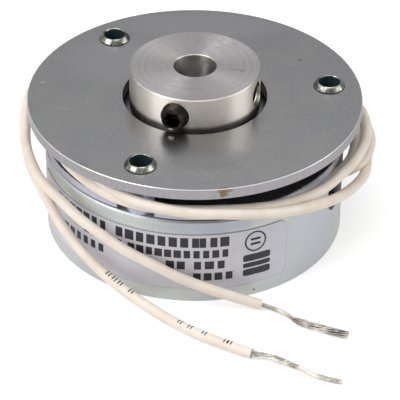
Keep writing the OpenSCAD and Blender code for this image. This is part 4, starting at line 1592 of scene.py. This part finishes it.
        bars = [
            (ring_u, ring_v + 0.42, 0.82, 0.2), (ring_u, ring_v - 0.42, 0.82, 0.2),
            (block_u, block_v + 1.3, 2.2, 0.62), (block_u, block_v, 2.2, 0.42), (block_u, block_v - 1.3, 2.2, 0.62),
        ]
        shares = (1.0, 0.8, 0.6, 0.4, 0.2, 0.01)
        made = [self._bent([oval(1.72, 1.8), oval(1.46, 1.54)], ring=True)]
        made += [self._bent([slab(u, v, wide * s, tall * s) for s in shares]) for u, v, wide, tall in bars]
        return made


@dataclass
class Brake:
    """The whole brake: leads first, then the dressed nodes and the other assemblies."""

    shop: Workshop = field(default_factory=Workshop)
    growth: Growth = field(default_factory=Growth)

    def build(self) -> None:
        """Makes and dresses every piece."""
        for lead in (LEAD_A, LEAD_B):
            lead.build(self.shop, self.growth)
        finishes = self.shop.finishes
        dressed = {
            "end_plate": finishes.plate, "hub": finishes.hub, "field_body": finishes.body,
            "armature_plate": finishes.armature, "friction_carrier": finishes.steel,
            "lining_upper": finishes.lining, "lining_lower": finishes.lining, "coil_bobbin": finishes.bobbin,
            "coil_winding": finishes.copper, "coil_potting": finishes.resin, "lead_grommet": finishes.rubber,
        }
        for node, finish in dressed.items():
            self.shop.dress(node, finish)
        for assembly in (SetScrews(), Spacers(), BrakeSprings(), RatingLabel()):
            assembly.build(self.shop, self.growth)


LEAD_A = Lead(
    letter="a",
    route=[
        (-13.5, 20.6, 10.6), (-13.3, 21.43, 10.77), (-12.6, 22.48, 11), (-10.9, 24.02, 11.36), (-7.6, 25.5, 11.84),
        (-3, 26.61, 12.44), (4, 27.17, 13.29), (14, 26.4, 14.35), (30, 24.51, 15.36), (45, 24.1, 16.32),
        (60, 24.1, 17), (75, 24.12, 17.15), (90, 24.19, 17.18), (105, 24.22, 17.27), (120, 24.21, 17.34),
        (135, 24.23, 17.38), (150, 24.26, 17.44), (165, 24.08, 17.51), (180, 23.41, 17.52), (194, 22.54, 17.51),
        (205, 22.28, 17.54), (214, 22.52, 17.58), (223, 22.89, 17.58), (232, 23.31, 17.43), (241, 23.68, 17.27),
        (250, 23.9, 17.24), (260, 24, 17.26), (270, 24.01, 17.29), (280, 24, 17.16), (290, 24, 16.7),
        (300, 24.06, 16.13), (310, 24.3, 15.8), (320, 24.85, 15.78), (329, 25.18, 16.11), (337, 25.64, 16.31),
        (344, 25.97, 16.52), (351, 26.21, 16.71), (358, 26.2, 16.89), (366, 25.95, 16.97), (376, 25.31, 16.73),
        (390, 25.54, 16.83), (405, 25.74, 16.97), (420, 25.81, 17.07), (435, 25.81, 17.12), (450, 26.1, 17.26),
        (465, 26.36, 17.46), (480, 26.73, 17.64), (495, 27.27, 17.62), (510, 27.59, 17.04), (525, 26.89, 15.79),
        (540, 25.99, 13.66), (554, 25.3, 13.05), (565, 25.06, 12.78), (575, 24.42, 12.14), (585, 24.22, 11.13),
        (595, 24.09, 10.03), (605, 24.1, 8.67), (615, 24, 7.12), (625, 24.05, 5.21), (634, 24.35, 3.69),
        (641, 24.94, 2.61), (647, 25.7, 1.69), (652.2, 26.54, 0.82),
    ],
    bare_route=[
        (652.2, 26.54, 0.82), (655, 27.7, 0.6), (657.3, 29.4, 0.45), (658.7, 31.6, 0.43), (661.9, 34.6, 0.42),
        (666, 38.5, 0.42),
    ],
    insulated_length=296.5,
)
LEAD_B = Lead(
    letter="b",
    route=[
        (-22.5, 20.6, 12.15), (-22.1, 21.3, 12.45), (-21, 22.3, 12.9), (-19.3, 23.25, 13.4), (-17, 24.05, 14.05),
        (-13.4, 24.6, 14.95), (-8, 24.68, 15.98), (-1, 24.44, 16.92), (9, 24.21, 17.73), (19, 24.23, 18.08),
        (30, 24.36, 18.24), (45, 24.37, 18.67), (60, 24.28, 19.03), (75, 24.22, 19.15), (90, 24.2, 19.16),
        (105, 24.2, 19.15), (120, 24.2, 19.15), (135, 24.24, 19.16), (150, 24.24, 19.2), (165, 24.06, 19.23),
        (180, 23.46, 19.23), (194, 22.7, 19.23), (205, 22.3, 19.23), (214, 22.24, 19.23), (223, 22.5, 19.23),
        (232, 23.12, 19.18), (241, 24.12, 18.9), (250, 24.9, 18.61), (260, 25.33, 18.29), (270, 25.58, 17.97),
        (280, 25.61, 17.64), (290, 25.71, 16.91), (300, 25.81, 16.05), (310, 25.84, 15.08), (320, 25.77, 13.88),
        (329, 25.65, 12.67), (337, 25.66, 11.68), (344, 25.9, 10.91), (351, 26.32, 10.36), (358, 26.56, 10.53),
        (366, 26.76, 11.31), (376, 26.72, 12.47), (390, 26.43, 13.29), (405, 26.18, 13.62), (420, 26.04, 13.97),
        (435, 26.01, 14.4), (450, 26.1, 14.81), (465, 26.35, 15.13), (480, 26.86, 15.19), (495, 27.45, 14.85),
        (510, 27.68, 13.97), (525, 27.06, 12.81), (540, 25.79, 11.55), (554, 24.88, 10.64), (565, 24.39, 9.41),
        (575, 24.41, 7.71), (585, 24.27, 5.57), (594, 24.39, 3.8), (602, 24.73, 2.51), (609, 25.44, 1.66),
        (616, 26.66, 1.08), (622, 28.25, 0.84), (628, 30.4, 0.82), (633.5, 32.57, 0.82), (638.5, 34.75, 0.83),
        (643.4, 37.14, 0.82),
    ],
    ticks=(0.8869, 0.8946, 0.8997, 0.9075, 0.9537, 0.9614, 0.9692, 0.9846, 0.9897),
    spread=(0.42, 0.27),
    twists=1.6,
    bare_route=[
        (643.4, 37.14, 0.82), (646.9, 38.2, 0.6), (649.5, 39.8, 0.45), (651.6, 41.8, 0.43), (653.2, 43.9, 0.42),
        (656.9, 47, 0.42),
    ],
    insulated_length=304.9,
)


def main() -> None:
    """Builds the studio and the brake."""
    logging.basicConfig(level=logging.INFO, format="%(name)s: %(message)s")
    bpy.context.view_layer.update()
    Studio().build()
    Brake().build()


if __name__ == "__main__":
    main()
